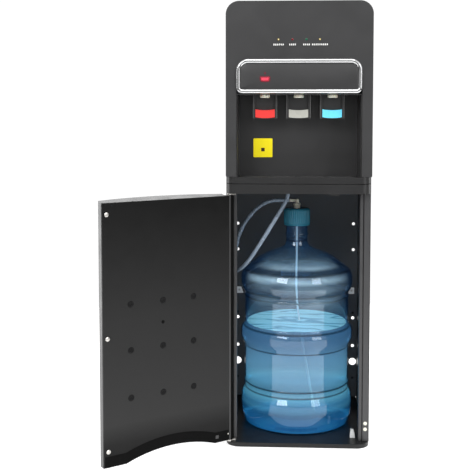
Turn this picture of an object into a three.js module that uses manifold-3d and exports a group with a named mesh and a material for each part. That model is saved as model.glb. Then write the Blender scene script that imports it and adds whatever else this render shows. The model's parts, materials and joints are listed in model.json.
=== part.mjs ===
// Bottom-loading water dispenser with its door open: cabinet, three push-lever taps over a drip tray,
// and a bay that holds an upturned-neck water bottle fed by a pump through a probe and a hose.
// Millimetres, +Z up. Origin: centre of the base's underside. +X is the user's right, -Y the front.

import * as THREE from "three";
import { mergeVertices } from "three/addons/utils/BufferGeometryUtils.js";
import Module from "manifold-3d";

const wasm = await Module();
wasm.setup();

// ---------------------------------------------------------------- driving dimensions
const WIDTH = 330;
const HEIGHT = 1020;
const DEPTH = 350;
const GAP = 0.3; // clearance between touching pieces
const SHEET = 1.5; // cabinet sheet metal
const WALL = 3; // moulded plastic

const HALF = WIDTH / 2;
const FRONT = -DEPTH / 2;
const REAR = DEPTH / 2;
const FRAME = -152; // plane that the door closes on
const CORNER = 31; // plan radius of the base, the header and the tray lip
const FACADE_CORNER = 30;

const BASE_TOP = 10;
const SIDE_HIGH = HEIGHT - FACADE_CORNER - 2; // top edge of the side and rear panels
const HEADER_LOW = 586.8;
const HEADER_HIGH = 608.7;
const TRAY_LOW = 610;
const TRAY_HIGH = 624.6;
const FACADE_LOW = 625.2;
const LINER_CEILING = 812.4;

const BAY_HALF = 142; // half width of the bay's front opening
const RECESS_HALF = 141;
const RECESS_BACK = -75;

const HOUSING_LOW = 813.4;
const HOUSING_HIGH = 890.5;
const RING_BAND = 9.7;
const RING_FRONT = -183;

const TAP_PITCH = 77;
const TAP_X = [-TAP_PITCH, 0, TAP_PITCH];
const TAP_NAMES = ["hot", "room", "cold"];
const NOZZLE_Y = -143;
const NOZZLE_LOW = 804;
const LEVER_AXIS = { y: -123, z: 822 };
const LEVER_LOW = 756;
const LEVER_HALF = 28;

const LED_Z = 934;
const LEDS = [
  ["led_power", -46.5, 0xf2e2b0],
  ["led_hot", -15.3, 0x6a1412],
  ["led_cold", 16.1, 0x0d3f30],
  ["led_child_lock", 45.9, 0xf2e2b0],
];

const HINGE = { x: -156.8, y: -163, radius: 8.2 };
const DOOR_OPEN_DEG = 144.5;
const DOOR_INNER = -155;
const DOOR_LOW = 15.4;
const DOOR_PANEL_HIGH = 582;
const DOOR_PANEL = 2.5; // thickness of the door's inner panel
const DOOR_BOW = 12;
const DOOR_FREE_EDGE = 164.5;
const DOOR_EDGE_RADIUS = 3.5;
const DOOR_EDGE_FRONT = -175; // front of the free edge, flush with the header when shut
const DOOR_ARCH = { half: 112, rise: 19 };
const DOOR_SCREW_X = 153.4;
const DOOR_SCREWS = [["top", 557.7], ["middle", 293.6], ["bottom", 50.1]];

const BOTTLE_FLOOR = BASE_TOP + GAP;
const BOTTLE_RADIUS = 136.5;
const NECK_RADIUS = 26.5;
const CAP_LOW = 495;
const CAP_HIGH = 537;
const WATER_LEVEL = 257.8;
const TUBE_RADIUS = 2.5;
const HOSE_RADIUS = 4.5;

// ---------------------------------------------------------------- materials
const finish = (color, roughness, metalness = 0) => ({ color, roughness, metalness });
const DARK_PAINT = finish(0x3f4040, 0.45, 0.1);
const BLACK_SHEET = finish(0x232425, 0.5, 0.3);
const DARK_PLASTIC = finish(0x333434, 0.5);
const CHROME = finish(0xd4d6d8, 0.12, 1);
const STEEL = finish(0xb9b6ae, 0.3, 1);
const CREAM = finish(0xe6e0cc, 0.4);
const CLEAR_BLUE = finish(0x4fa3d8, 0.08);
const WATER = finish(0x9ed6f2, 0.02);
const CAP_BLUE = finish(0x2f8fb5, 0.25);
const SILICONE = finish(0xa9b8c4, 0.35);

const root = new THREE.Group();

function add(name, geometry, look, parent = root) {
  const mesh = new THREE.Mesh(geometry, new THREE.MeshStandardMaterial(look));
  mesh.name = name;
  parent.add(mesh);
  return mesh;
}

// ---------------------------------------------------------------- solids and booleans
function toSolid(geometry) {
  const bare = new THREE.BufferGeometry();
  const flat = geometry.index ? geometry.toNonIndexed() : geometry;
  bare.setAttribute("position", flat.getAttribute("position"));
  const merged = mergeVertices(bare, 1e-3);
  return new wasm.Manifold(
    new wasm.Mesh({
      numProp: 3,
      vertProperties: merged.attributes.position.array,
      triVerts: new Uint32Array(merged.index.array),
    }),
  );
}

function toGeometry(solid) {
  const mesh = solid.getMesh();
  const geometry = new THREE.BufferGeometry();
  geometry.setAttribute("position", new THREE.BufferAttribute(mesh.vertProperties, 3));
  geometry.setIndex(new THREE.BufferAttribute(mesh.triVerts, 1));
  return geometry;
}

function combine(start, { plus = [], minus = [] }) {
  let solid = toSolid(start);
  for (const piece of plus) solid = solid.add(toSolid(piece));
  for (const piece of minus) solid = solid.subtract(toSolid(piece));
  return toGeometry(solid);
}

const cut = (start, ...tools) => combine(start, { minus: tools });
const join = (start, ...pieces) => combine(start, { plus: pieces });

// ---------------------------------------------------------------- shape helpers
// A box from its lowest to its highest corner.
function block([x0, y0, z0], [x1, y1, z1]) {
  const geometry = new THREE.BoxGeometry(x1 - x0, y1 - y0, z1 - z0);
  return geometry.translate((x0 + x1) / 2, (y0 + y1) / 2, (z0 + z1) / 2);
}

function prism(shape, low, high, curveSegments = 6) {
  const options = { depth: high - low, bevelEnabled: false, curveSegments };
  return new THREE.ExtrudeGeometry(shape, options).translate(0, 0, low);
}

// A plate that stands upright: the outline is drawn in X and Z, and fills front to back in Y.
function upright(shape, front, back, curveSegments = 4) {
  const options = { depth: back - front, bevelEnabled: false, curveSegments };
  return new THREE.ExtrudeGeometry(shape, options).rotateX(Math.PI / 2).translate(0, back, 0);
}

function polygon(points) {
  return new THREE.Shape(points.map(([x, y]) => new THREE.Vector2(x, y)));
}

// A rectangle with its own radius at each corner, in the order low left, low right, high right, high left.
function roundedRect(x0, y0, x1, y1, [a, b, c, d]) {
  const quarter = Math.PI / 2;
  const shape = new THREE.Shape();
  shape.moveTo(x0 + a, y0).lineTo(x1 - b, y0);
  if (b) shape.absarc(x1 - b, y0 + b, b, -quarter, 0, false);
  shape.lineTo(x1, y1 - c);
  if (c) shape.absarc(x1 - c, y1 - c, c, 0, quarter, false);
  shape.lineTo(x0 + d, y1);
  if (d) shape.absarc(x0 + d, y1 - d, d, quarter, 2 * quarter, false);
  shape.lineTo(x0, y0 + a);
  if (a) shape.absarc(x0 + a, y0 + a, a, 2 * quarter, 3 * quarter, false);
  return shape;
}

// A round bar along X, Y or Z, centred on a point.
function bar(axis, radius, length, [x, y, z], sides = 12, endRadius = radius) {
  const geometry = new THREE.CylinderGeometry(endRadius, radius, length, sides);
  if (axis === "x") geometry.rotateZ(-Math.PI / 2);
  if (axis === "z") geometry.rotateX(Math.PI / 2);
  return geometry.translate(x, y, z);
}

// A solid of revolution about the vertical through (x, y), from [radius, height] pairs.
function turned(profile, [x, y], sides = 24) {
  const points = profile.map(([r, z]) => new THREE.Vector2(r, z));
  return new THREE.LatheGeometry(points, sides).rotateX(Math.PI / 2).translate(x, y, 0);
}

// A round rod or tube that follows a smooth curve through the points.
function swept(points, radius, steps, sides = 8, bore = 0) {
  const curve = new THREE.CatmullRomCurve3(points.map((p) => new THREE.Vector3(...p)), false, "centripetal");
  const ring = (r) => Array.from({ length: sides }, (_, i) => {
    const angle = (2 * Math.PI * i) / sides;
    return new THREE.Vector2(r * Math.cos(angle), r * Math.sin(angle));
  });
  const section = new THREE.Shape(ring(radius));
  if (bore) section.holes.push(new THREE.Path(ring(bore)));
  return new THREE.ExtrudeGeometry(section, { steps, extrudePath: curve, bevelEnabled: false });
}

// ---------------------------------------------------------------- cabinet
function basePlate() {
  return prism(roundedRect(-HALF, FRONT, HALF, REAR, [CORNER, CORNER, 6, 6]), 0, BASE_TOP, 8);
}

function sidePanel(side) {
  const outer = side * HALF;
  const inner = side * (HALF - SHEET);
  const low = [Math.min(outer, inner), FRAME, BASE_TOP + GAP];
  return block(low, [Math.max(outer, inner), REAR - SHEET - 2 * GAP, SIDE_HIGH]);
}

const REAR_HOLES = [[476, 4], [407, 4], [224, 4], [149, 4], [106, 9.5]];
const REAR_HOLE_X = 153;
const SWITCHES = [["rocker_hot", 92], ["rocker_cold", 120]];
const SWITCH_Z = 700;
const ROCKER_TILT_DEG = 6;
const FAN = { x: 0, z: 880, radius: 36 };
const INLET = { x: 110, z: 650 };
const DRAIN = { x: -110, z: 650 };
const REAR_PANEL_FRONT = REAR - SHEET - GAP;

function rearPanel() {
  const tools = [];
  for (const side of [-1, 1])
    for (const [z, radius] of REAR_HOLES)
      tools.push(bar("y", radius, 20, [side * REAR_HOLE_X, REAR, z], radius > 5 ? 16 : 8));
  for (const [, x] of SWITCHES)
    tools.push(block([x - 7.5, REAR - 20, SWITCH_Z - 12], [x + 7.5, REAR + 5, SWITCH_Z + 12]));
  const slotCount = 9;
  for (let i = 0; i < slotCount; i++) {
    const z = FAN.z + (i - (slotCount - 1) / 2) * 8;
    tools.push(block([FAN.x - 32, REAR - 20, z - 2], [FAN.x + 32, REAR + 5, z + 2]));
  }
  tools.push(bar("y", 8.3, 20, [INLET.x, REAR, INLET.z]));
  tools.push(bar("y", 8.3, 20, [DRAIN.x, REAR, DRAIN.z]));
  return cut(block([-HALF, REAR_PANEL_FRONT, BASE_TOP + GAP], [HALF, REAR - GAP, SIDE_HIGH]), ...tools);
}

// A moulded cap with the same rounded shoulders as the facade, open underneath.
function topCover() {
  const back = REAR - GAP;
  const crown = FACADE_CORNER - 1;
  const shape = roundedRect(-HALF, SIDE_HIGH + GAP, HALF, HEIGHT - 1, [0, 0, crown, crown]);
  const inner = roundedRect(
    -HALF + WALL, SIDE_HIGH - 5, HALF - WALL, HEIGHT - 1 - WALL, [0, 0, crown - WALL, crown - WALL]);
  return cut(upright(shape, FRAME, back, 5), upright(inner, FRAME - 5, back - WALL, 5));
}

const PORT = { x: -22, y: -68 };
const CEILING_LOW = HEADER_LOW + GAP;

function bayCeiling() {
  const inner = HALF - SHEET - GAP;
  const plate = block([-inner, FRAME + GAP, CEILING_LOW], [inner, REAR_PANEL_FRONT - GAP, CEILING_LOW + 2]);
  return cut(plate, bar("z", 6.3, 20, [PORT.x, PORT.y, CEILING_LOW]));
}

// A folded strip that frames the bay: outer face, a groove for the door seal, and an inner flange.
function frontStile(side) {
  const outer = HALF - SHEET - GAP;
  const inner = BAY_HALF - 1;
  const groove = [147.8, 150];
  const lip = 2;
  const profile = [
    [outer, FRAME], [groove[1], FRAME], [groove[1], FRAME + 6], [groove[0], FRAME + 6],
    [groove[0], FRAME], [inner, FRAME], [inner, FRAME + 22], [inner + lip, FRAME + 22],
    [inner + lip, FRAME + lip], [groove[0] - lip, FRAME + lip], [groove[0] - lip, FRAME + 6 + lip],
    [groove[1] + lip, FRAME + 6 + lip], [groove[1] + lip, FRAME + lip],
    [outer - lip, FRAME + lip], [outer - lip, FRAME + 22], [outer, FRAME + 22],
  ];
  const points = profile.map(([x, y]) => [side * x, y]);
  return prism(polygon(points), BASE_TOP + GAP, HEADER_LOW - GAP);
}

// The band between the bay and the drip tray: a curved front wall with a floor.
function headerPanel() {
  const back = FRAME - GAP;
  const plan = (inset) =>
    roundedRect(-HALF + inset, FRONT + inset, HALF - inset, back + (inset ? 5 : 0), [
      CORNER - inset, CORNER - inset, 0, 0,
    ].map((r) => Math.min(r, back - FRONT - 0.1)));
  const outer = prism(plan(0), HEADER_LOW, HEADER_HIGH, 8);
  return cut(outer, prism(plan(WALL), HEADER_LOW + WALL, HEADER_HIGH + 5, 8));
}

function frontFacade() {
  const back = FRAME - GAP;
  const top = [3, 3, FACADE_CORNER, FACADE_CORNER];
  const shell = upright(roundedRect(-HALF, FACADE_LOW, HALF, HEIGHT, top), FRONT, back, 6);
  const inset = FACADE_CORNER - WALL;
  const hollow = roundedRect(-HALF + WALL, FACADE_LOW - 5, HALF - WALL, HEIGHT - WALL, [0, 0, inset, inset]);
  const edge = RECESS_HALF + GAP;
  const opening = roundedRect(-edge, FACADE_LOW - 5, edge, HOUSING_HIGH + GAP, [0, 0, 26, 26]);
  const tools = [upright(hollow, FRONT + WALL, back + 5, 6), upright(opening, FRONT - 5, FRONT + 10, 6)];
  for (const [, x] of LEDS) tools.push(bar("y", 2.8, 20, [x, FRONT, LED_Z]));
  return cut(shell, ...tools);
}

function recessLiner() {
  const sheet = 1.7;
  const front = FRONT + WALL + GAP;
  const low = HEADER_HIGH + GAP;
  const box = block([-RECESS_HALF, front, low], [RECESS_HALF, RECESS_BACK, LINER_CEILING]);
  const room = block(
    [-RECESS_HALF + sheet, front - 5, TRAY_LOW + 0.3],
    [RECESS_HALF - sheet, RECESS_BACK - sheet, LINER_CEILING - sheet],
  );
  const slots = TAP_X.map((x) =>
    block([x - 31, NOZZLE_Y - 16, LINER_CEILING - 10], [x + 31, LEVER_AXIS.y + 18, LINER_CEILING + 10]));
  return cut(box, room, ...slots);
}

function buildCabinet() {
  add("base_plate", basePlate(), DARK_PAINT);
  add("side_panel_left", sidePanel(-1), DARK_PAINT);
  add("side_panel_right", sidePanel(1), DARK_PAINT);
  add("rear_panel", rearPanel(), BLACK_SHEET);
  add("top_cover", topCover(), DARK_PLASTIC);
  add("bay_ceiling", bayCeiling(), BLACK_SHEET);
  add("front_stile_left", frontStile(-1), DARK_PAINT);
  add("front_stile_right", frontStile(1), DARK_PAINT);
  add("header_panel", headerPanel(), DARK_PLASTIC);
  add("front_facade", frontFacade(), DARK_PLASTIC);
  add("recess_liner", recessLiner(), DARK_PLASTIC);
}

// ---------------------------------------------------------------- tap housing and controls
const LOCK = { x0: -86, x1: -67, z0: 841, z1: 850 };
const RING_RADII = [13.5, 13.5, 26, 26];

function housingOutline(inset) {
  const radii = RING_RADII.map((r) => Math.max(r - inset, 2));
  return roundedRect(
    -RECESS_HALF + inset, HOUSING_LOW + inset, RECESS_HALF - inset, HOUSING_HIGH - inset, radii);
}

function lockOutline(grow) {
  return roundedRect(LOCK.x0 - grow, LOCK.z0 - grow, LOCK.x1 + grow, LOCK.z1 + grow, [3.5, 3.5, 1, 1]);
}

function chromeRing() {
  const back = FRONT + WALL;
  const bevel = 3;
  const band = upright(housingOutline(0), RING_FRONT + bevel, back);
  const face = upright(housingOutline(bevel), RING_FRONT, back);
  return combine(band, { plus: [face], minus: [upright(housingOutline(RING_BAND), RING_FRONT - 5, back + 5)] });
}

function tapHousing() {
  const back = -158;
  const shelf = FRONT + WALL + GAP;
  const face = upright(housingOutline(RING_BAND + GAP), RING_FRONT + 3, back);
  const flange = upright(housingOutline(GAP), shelf, back);
  const tools = [
    upright(housingOutline(RING_BAND + GAP + WALL), RING_FRONT + 3 + WALL, back + 5),
    upright(housingOutline(GAP + WALL), shelf + WALL, back + 5),
    upright(lockOutline(GAP), RING_FRONT - 5, back),
  ];
  return combine(face, { plus: [flange], minus: tools });
}

// A tap: a nozzle that shows below the housing, and the valve body above it.
function tap(x) {
  const profile = [
    [0, NOZZLE_LOW + 3], [7, NOZZLE_LOW + 3], [8, NOZZLE_LOW], [10.4, NOZZLE_LOW], [11.5, NOZZLE_LOW + 2],
    [11.5, 822], [13, 825], [13, 850], [6, 852], [6, 866], [0, 866],
  ];
  return turned(profile, [x, NOZZLE_Y], 14);
}

// A channel-shaped lever that hangs from its pivot bar behind the nozzle.
function paddle(x) {
  const { y, z } = LEVER_AXIS;
  const body = block([x - LEVER_HALF, y - 5, LEVER_LOW], [x + LEVER_HALF, y + 5, z]);
  const channel = block([x - 22.8, y - 10, LEVER_LOW + 1.2], [x + 22.8, y + 2, z + 10]);
  const pivot = bar("x", 4.5, 2 * LEVER_HALF, [x, y, z], 12);
  return join(cut(body, channel), pivot);
}

// The coloured plate in the lever, its upper and lower edges curved like a smile.
function insert(x) {
  const half = 22.4;
  const low = LEVER_LOW + 3.6;
  const high = 778;
  const sag = 2;
  const shape = new THREE.Shape();
  shape.moveTo(x - half, low).quadraticCurveTo(x, low - 2 * sag, x + half, low);
  shape.lineTo(x + half, high).quadraticCurveTo(x, high - 2 * sag, x - half, high);
  return upright(shape, LEVER_AXIS.y - 4.6, LEVER_AXIS.y + 2 - GAP);
}

function buildTaps() {
  add("chrome_ring", chromeRing(), CHROME);
  add("tap_housing", tapHousing(), DARK_PLASTIC);
  add("child_lock_button", upright(lockOutline(0), RING_FRONT + 1.5, RING_FRONT + 11), finish(0xe8435e, 0.35));
  const colors = [0xe32a2c, 0x9c9c96, 0x3cc4e4];
  TAP_NAMES.forEach((name, i) => {
    add(`${name}_tap`, tap(TAP_X[i]), CREAM);
    add(`${name}_paddle`, paddle(TAP_X[i]), DARK_PLASTIC);
    add(`${name}_insert`, insert(TAP_X[i]), finish(colors[i], 0.3));
  });
  for (const [name, x, color] of LEDS)
    add(name, bar("y", 2.5, 8, [x, FRONT + 3.4, LED_Z]), finish(color, 0.3));
  const label = block([-105, RECESS_BACK - 2.8, 665], [-60, RECESS_BACK - 2, 709.5]);
  add("use_label", label, finish(0xf5e400, 0.5));
}

// ---------------------------------------------------------------- drip tray
const TRAY_HALF = 138.5;
const TRAY_FRONT = FRONT + WALL;
const TRAY_BACK = RECESS_BACK - 4;
const TRAY_RIM = 621.5;
const GRILLE_LOW = 619;

function dripTray() {
  const back = FRAME - GAP;
  const reach = back - FRONT - 0.1;
  const plan = (inset, extra) => roundedRect(-HALF + inset, FRONT + inset, HALF - inset, back + extra,
    [Math.min(CORNER, reach) - inset, Math.min(CORNER, reach) - inset, 0, 0]);
  const lip = cut(prism(plan(0, 0), TRAY_LOW, TRAY_HIGH, 8), prism(plan(WALL, 5), TRAY_LOW - 5, TRAY_HIGH + 5, 8));
  const pan = block([-TRAY_HALF, TRAY_FRONT - 1, TRAY_LOW + 0.9], [TRAY_HALF, TRAY_BACK, TRAY_RIM]);
  const ledge = block([-136.5, -170, GRILLE_LOW - GAP], [136.5, TRAY_BACK - 2, TRAY_RIM + 5]);
  const basin = block([-132.5, -166, TRAY_LOW + 2.6], [132.5, TRAY_BACK - 6, TRAY_RIM + 5]);
  return combine(lip, { plus: [pan], minus: [ledge, basin] });
}

function dripGrille() {
  const front = -169.6;
  const back = TRAY_BACK - 2.4;
  const plate = block([-136, front, GRILLE_LOW], [136, back, GRILLE_LOW + 2.2]);
  const rows = 7;
  const columns = 4;
  const tools = [];
  for (let row = 0; row < rows; row++)
    for (let column = 0; column < columns; column++) {
      const y = front + ((row + 1) * (back - front)) / (rows + 1);
      const x = (column - (columns - 1) / 2) * 65;
      tools.push(block([x - 28, y - 2.5, GRILLE_LOW - 5], [x + 28, y + 2.5, GRILLE_LOW + 5]));
    }
  return cut(plate, ...tools);
}

// ---------------------------------------------------------------- door, drawn closed
// Plan outline: a round barrel about the hinge, a bowed front and a rounded free edge.
function doorPlan(inset) {
  const { x, y, radius } = HINGE;
  const r = radius - inset;
  const front = y - r;
  const free = DOOR_FREE_EDGE - inset;
  const edgeRadius = DOOR_EDGE_RADIUS - inset;
  const edgeFront = DOOR_EDGE_FRONT + inset;
  const bow = DOOR_BOW;
  const shape = new THREE.Shape();
  const meet = Math.asin((DOOR_INNER - inset - y) / r);
  shape.moveTo(x + r * Math.cos(meet), DOOR_INNER - inset);
  shape.absarc(x, y, r, meet, 1.5 * Math.PI, false);
  const mid = (x + free - edgeRadius) / 2;
  const quarter = (free - edgeRadius - x) / 4;
  const pull = front - bow * 1.33;
  shape.bezierCurveTo(mid - quarter, pull, mid + quarter, pull, free - edgeRadius, edgeFront);
  shape.absarc(free - edgeRadius, edgeFront + edgeRadius, edgeRadius, 1.5 * Math.PI, 2 * Math.PI, false);
  shape.lineTo(free, DOOR_INNER - inset);
  return shape;
}

// The toe arch along the door's lower edge.
function doorArch() {
  const { half, rise } = DOOR_ARCH;
  const radius = (half * half + rise * rise) / (2 * rise);
  const spread = Math.asin(half / radius);
  const shape = new THREE.Shape();
  shape.moveTo(half, DOOR_LOW - 10).lineTo(half, DOOR_LOW);
  shape.absarc(0, DOOR_LOW + rise - radius, radius, Math.PI / 2 - spread, Math.PI / 2 + spread, false);
  shape.lineTo(-half, DOOR_LOW - 10);
  return upright(shape, FRONT - 40, FRAME, 8);
}

function doorSkin() {
  const high = DOOR_PANEL_HIGH + 12;
  const behindPanel = DOOR_INNER - DOOR_PANEL - GAP;
  const panelEdge = HINGE.x + 6;
  const slope = Math.atan2(3.9, 18.2);
  const wedge = block([-200, -60, 0], [200, 60, 40])
    .rotateX(-slope)
    .translate(0, behindPanel, DOOR_PANEL_HIGH + GAP);
  const floor = DOOR_LOW + WALL;
  const ceiling = DOOR_PANEL_HIGH - 4;
  const tools = [
    prism(doorPlan(WALL), floor, ceiling, 8),
    block([panelEdge + WALL, behindPanel - 2, floor], [DOOR_FREE_EDGE - WALL, DOOR_INNER, ceiling]),
    wedge,
    block([panelEdge, behindPanel, 0], [200, 0, 700]),
    block([-200, -200, DOOR_PANEL_HIGH + 0.6], [HINGE.x + 15, 0, 700]),
    bar("z", 3.3, 60, [HINGE.x, HINGE.y, DOOR_LOW]),
    bar("z", 3.3, 60, [HINGE.x, HINGE.y, DOOR_PANEL_HIGH]),
    doorArch(),
  ];
  return cut(prism(doorPlan(0), DOOR_LOW, high, 8), ...tools);
}

function doorPanel() {
  const front = DOOR_INNER - DOOR_PANEL;
  const shape = roundedRect(HINGE.x + 6.3, DOOR_LOW + 0.2, DOOR_FREE_EDGE - 0.4, DOOR_PANEL_HIGH, [1, 1, 1, 1]);
  const holes = DOOR_SCREWS.map(([, z]) => bar("y", 2.3, 20, [DOOR_SCREW_X, DOOR_INNER, z], 8));
  return cut(upright(shape, front, DOOR_INNER), doorArch(), ...holes);
}

function doorScrew(z) {
  const head = bar("y", 5, 1.6, [DOOR_SCREW_X, DOOR_INNER + GAP + 0.8, z], 12, 3.6);
  return join(head, bar("y", 2, 12, [DOOR_SCREW_X, DOOR_INNER + GAP - 5, z], 8));
}

function buildDoor() {
  const swing = new THREE.Group();
  swing.position.set(HINGE.x, HINGE.y, 0);
  swing.rotation.z = THREE.MathUtils.degToRad(-DOOR_OPEN_DEG);
  root.add(swing);
  const closed = (geometry) => geometry.translate(-HINGE.x, -HINGE.y, 0);
  add("door_outer_skin", closed(doorSkin()), DARK_PLASTIC, swing);
  add("door_inner_panel", closed(doorPanel()), BLACK_SHEET, swing);
  for (const [name, z] of DOOR_SCREWS) add(`door_screw_${name}`, closed(doorScrew(z)), STEEL, swing);
}

// A hinge plate with its pin: lower one stands on the base, upper one hangs from the header.
function hingeBracket(top) {
  const [low, high] = top ? [DOOR_PANEL_HIGH + 1.5, HEADER_LOW - GAP] : [BASE_TOP + GAP, DOOR_LOW - 1.2];
  const { x, y } = HINGE;
  const plate = block([x - 6, y, low], [x + 14, FRAME - GAP, high]);
  const eye = bar("z", 6, high - low, [x, y, (low + high) / 2], 16);
  const reach = 9;
  const pinMiddle = top ? low - reach / 2 + 0.5 : high + reach / 2 - 0.5;
  return join(plate, eye, bar("z", 2.9, reach, [x, y, pinMiddle], 12));
}

// ---------------------------------------------------------------- bottle and its fittings
const BOTTLE_WALL = 2;
const BOTTLE_SIDES = 24;

function bottleOutline() {
  return [
    [118, BOTTLE_FLOOR], [128, 14], [134.6, 34], [BOTTLE_RADIUS, 62], [134.6, 82], [128, 96],
    [127.5, 200], [134, 214], [BOTTLE_RADIUS, 222], [BOTTLE_RADIUS, 240], [134, 247], [127, 256],
    [127, 332], [134, 343], [BOTTLE_RADIUS, 356], [BOTTLE_RADIUS, 372], [132, 386], [111, 403],
    [92, 417], [71, 428], [44, 437], [NECK_RADIUS + 3, 446], [NECK_RADIUS, 456],
  ];
}

function bottle() {
  const outside = [[0, BOTTLE_FLOOR], ...bottleOutline(), [NECK_RADIUS, CAP_LOW + 20]];
  const inside = bottleOutline()
    .map(([r, z], i) => [r - BOTTLE_WALL, i ? z : BOTTLE_FLOOR + BOTTLE_WALL])
    .reverse();
  const profile = [...outside, [NECK_RADIUS - BOTTLE_WALL, CAP_LOW + 20], ...inside, [0, BOTTLE_FLOOR + BOTTLE_WALL]];
  return turned(profile, [0, 0], BOTTLE_SIDES);
}

const TUBE_ROUTE = [[0, 0, 541], [0, 0, 430], [0.4, 0, 320], [8, 0, 250], [24, 0, 140], [40, 0, 34]];

function water() {
  const skin = BOTTLE_WALL + GAP;
  const profile = [[0, BOTTLE_FLOOR + skin], [115, BOTTLE_FLOOR + skin]];
  for (const [r, z] of bottleOutline().slice(1))
    if (z < WATER_LEVEL) profile.push([r - skin - 0.4, Math.max(z, BOTTLE_FLOOR + skin + 2)]);
  profile.push([profile.at(-1)[0], WATER_LEVEL], [0, WATER_LEVEL]);
  return cut(turned(profile, [0, 0], BOTTLE_SIDES), swept(TUBE_ROUTE, TUBE_RADIUS + GAP + 0.1, 16));
}

// A ribbed cap with a centre hole for the probe, its skirt over the neck.
function bottleCap() {
  const grip = NECK_RADIUS + GAP;
  const ribs = 36;
  const outline = new THREE.Shape();
  for (let i = 0; i < 2 * ribs; i++) {
    const r = i % 2 ? 31.6 : 32.8;
    const angle = (Math.PI * i) / ribs;
    const point = [r * Math.cos(angle), r * Math.sin(angle)];
    if (i) outline.lineTo(...point);
    else outline.moveTo(...point);
  }
  const skirt = prism(outline, CAP_LOW, CAP_HIGH - 3);
  const lid = bar("z", 31, 3, [0, 0, CAP_HIGH - 1.5], 24, 28);
  return combine(skirt, {
    plus: [lid],
    minus: [bar("z", grip, 40, [0, 0, CAP_LOW], 32), bar("z", 3.2, 60, [0, 0, CAP_HIGH])],
  });
}

const ELBOW_Z = 555;
const ELBOW_END = -18;

function elbowFitting() {
  const post = bar("z", 8, 7, [0, 0, CAP_HIGH + GAP + 3.5], 16);
  const collar = bar("z", 9, 5, [0, 0, 546], 16);
  const neck = bar("z", 5.5, 12, [0, 0, 552], 12, 4.5);
  const arm = bar("x", 4, -ELBOW_END, [ELBOW_END / 2, 0, ELBOW_Z], 12);
  const bore = bar("z", TUBE_RADIUS + GAP, 12, [0, 0, CAP_HIGH], 12);
  return combine(post, { plus: [collar, neck, arm], minus: [bore] });
}

const HOSE_ROUTE = [
  [-18.3, 0, 555], [-27, 0, 555], [-42, -1, 555.5], [-59, -2, 554.5], [-77, -3, 549], [-96, -4, 537],
  [-112, -4, 521], [-125, -2, 503], [-135.5, 1, 484], [-143, 3, 465], [-148, 3, 446], [-151, -2, 427],
  [-152.5, -13, 409], [-152.5, -29, 396], [-150, -47, 389.5], [-144, -64, 391], [-134.5, -77, 399],
  [-122, -85, 412], [-109, -89, 429], [-96, -90, 449], [-81, -88, 472], [-65, -84, 498], [-50, -79, 522],
  [-37.5, -74, 543], [-28.5, -70.5, 559], [-23.5, -68.5, 573], [PORT.x, PORT.y, 584],
];

function hosePort() {
  const barb = bar("z", 6, 16, [PORT.x, PORT.y, CEILING_LOW + 6], 12, 4.5);
  return join(barb, bar("z", 9, 2, [PORT.x, PORT.y, CEILING_LOW - GAP - 1], 12));
}

function buildBottle() {
  add("bottle", bottle(), CLEAR_BLUE);
  add("water", water(), WATER);
  add("bottle_cap", bottleCap(), CAP_BLUE);
  add("dip_tube", swept(TUBE_ROUTE, TUBE_RADIUS, 16, 8, 1.5), SILICONE);
  add("elbow_fitting", elbowFitting(), CREAM);
  add("feed_hose", swept(HOSE_ROUTE, HOSE_RADIUS, 44, 8), SILICONE);
  add("hose_port", hosePort(), CREAM);
}

// ---------------------------------------------------------------- bay hardware
// A sloped clip screwed to the rear panel, its slanted edge towards the bottle.
function rearClip(side) {
  const outer = side * 156;
  const shape = polygon([[outer, 289.5], [side * 138, 289.5], [side * 144, 306], [outer, 306]]);
  const back = REAR_PANEL_FRONT - GAP;
  return cut(upright(shape, back - 5, back), bar("y", 3, 20, [side * 149, back, 298], 10));
}

// The catch hangs from the bay's ceiling, just behind the plane that the door closes on.
const CATCH = { left: 71, right: 96, drop: 6, depth: 10 };

function doorCatch() {
  const { left, right, drop, depth } = CATCH;
  const top = CEILING_LOW - GAP;
  const front = FRAME + 2 * GAP;
  return upright(roundedRect(left, top - drop, right, top, [3, 3, 0, 0]), front, front + depth);
}

function bottleStop() {
  const x = 129;
  const y = -128;
  const shape = polygon([[x - 6, BASE_TOP + GAP], [x + 6, BASE_TOP + GAP], [x + 5, 20], [x + 3, 29], [x - 4, 29]]);
  const grooves = [15, 19.5, 24].map((z) => block([x - 10, y - 7, z], [x + 10, y - 5, z + 1.6]));
  return cut(upright(shape, y - 6, y + 6), ...grooves);
}

// ---------------------------------------------------------------- inside the upper cabinet
function tank(x, y, low, high, radius) {
  const wall = 1.5;
  const port = 5;
  const profile = [
    [0, low], [radius - 8, low], [radius, low + 8], [radius, high - 8], [radius - 8, high], [port + wall, high],
    [port + wall, high + 10], [port, high + 10], [port, high - wall], [radius - 8 - wall, high - wall],
    [radius - wall, high - 8 - wall], [radius - wall, low + 8 + wall], [radius - 8 - wall, low + wall],
    [0, low + wall],
  ];
  return turned(profile, [x, y], 16);
}

function pump() {
  const floor = CEILING_LOW + 2 + GAP;
  const foot = block([20, 70, floor], [80, 110, floor + 4]);
  const motor = bar("x", 17, 50, [50, 90, floor + 20], 16);
  const head = bar("x", 20, 14, [22, 90, floor + 21], 16);
  return join(foot, motor, head, bar("z", 4, 20, [22, 90, floor + 45], 10));
}

const FAN_BACK = REAR_PANEL_FRONT - GAP;
const FAN_DEPTH = 20;

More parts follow.
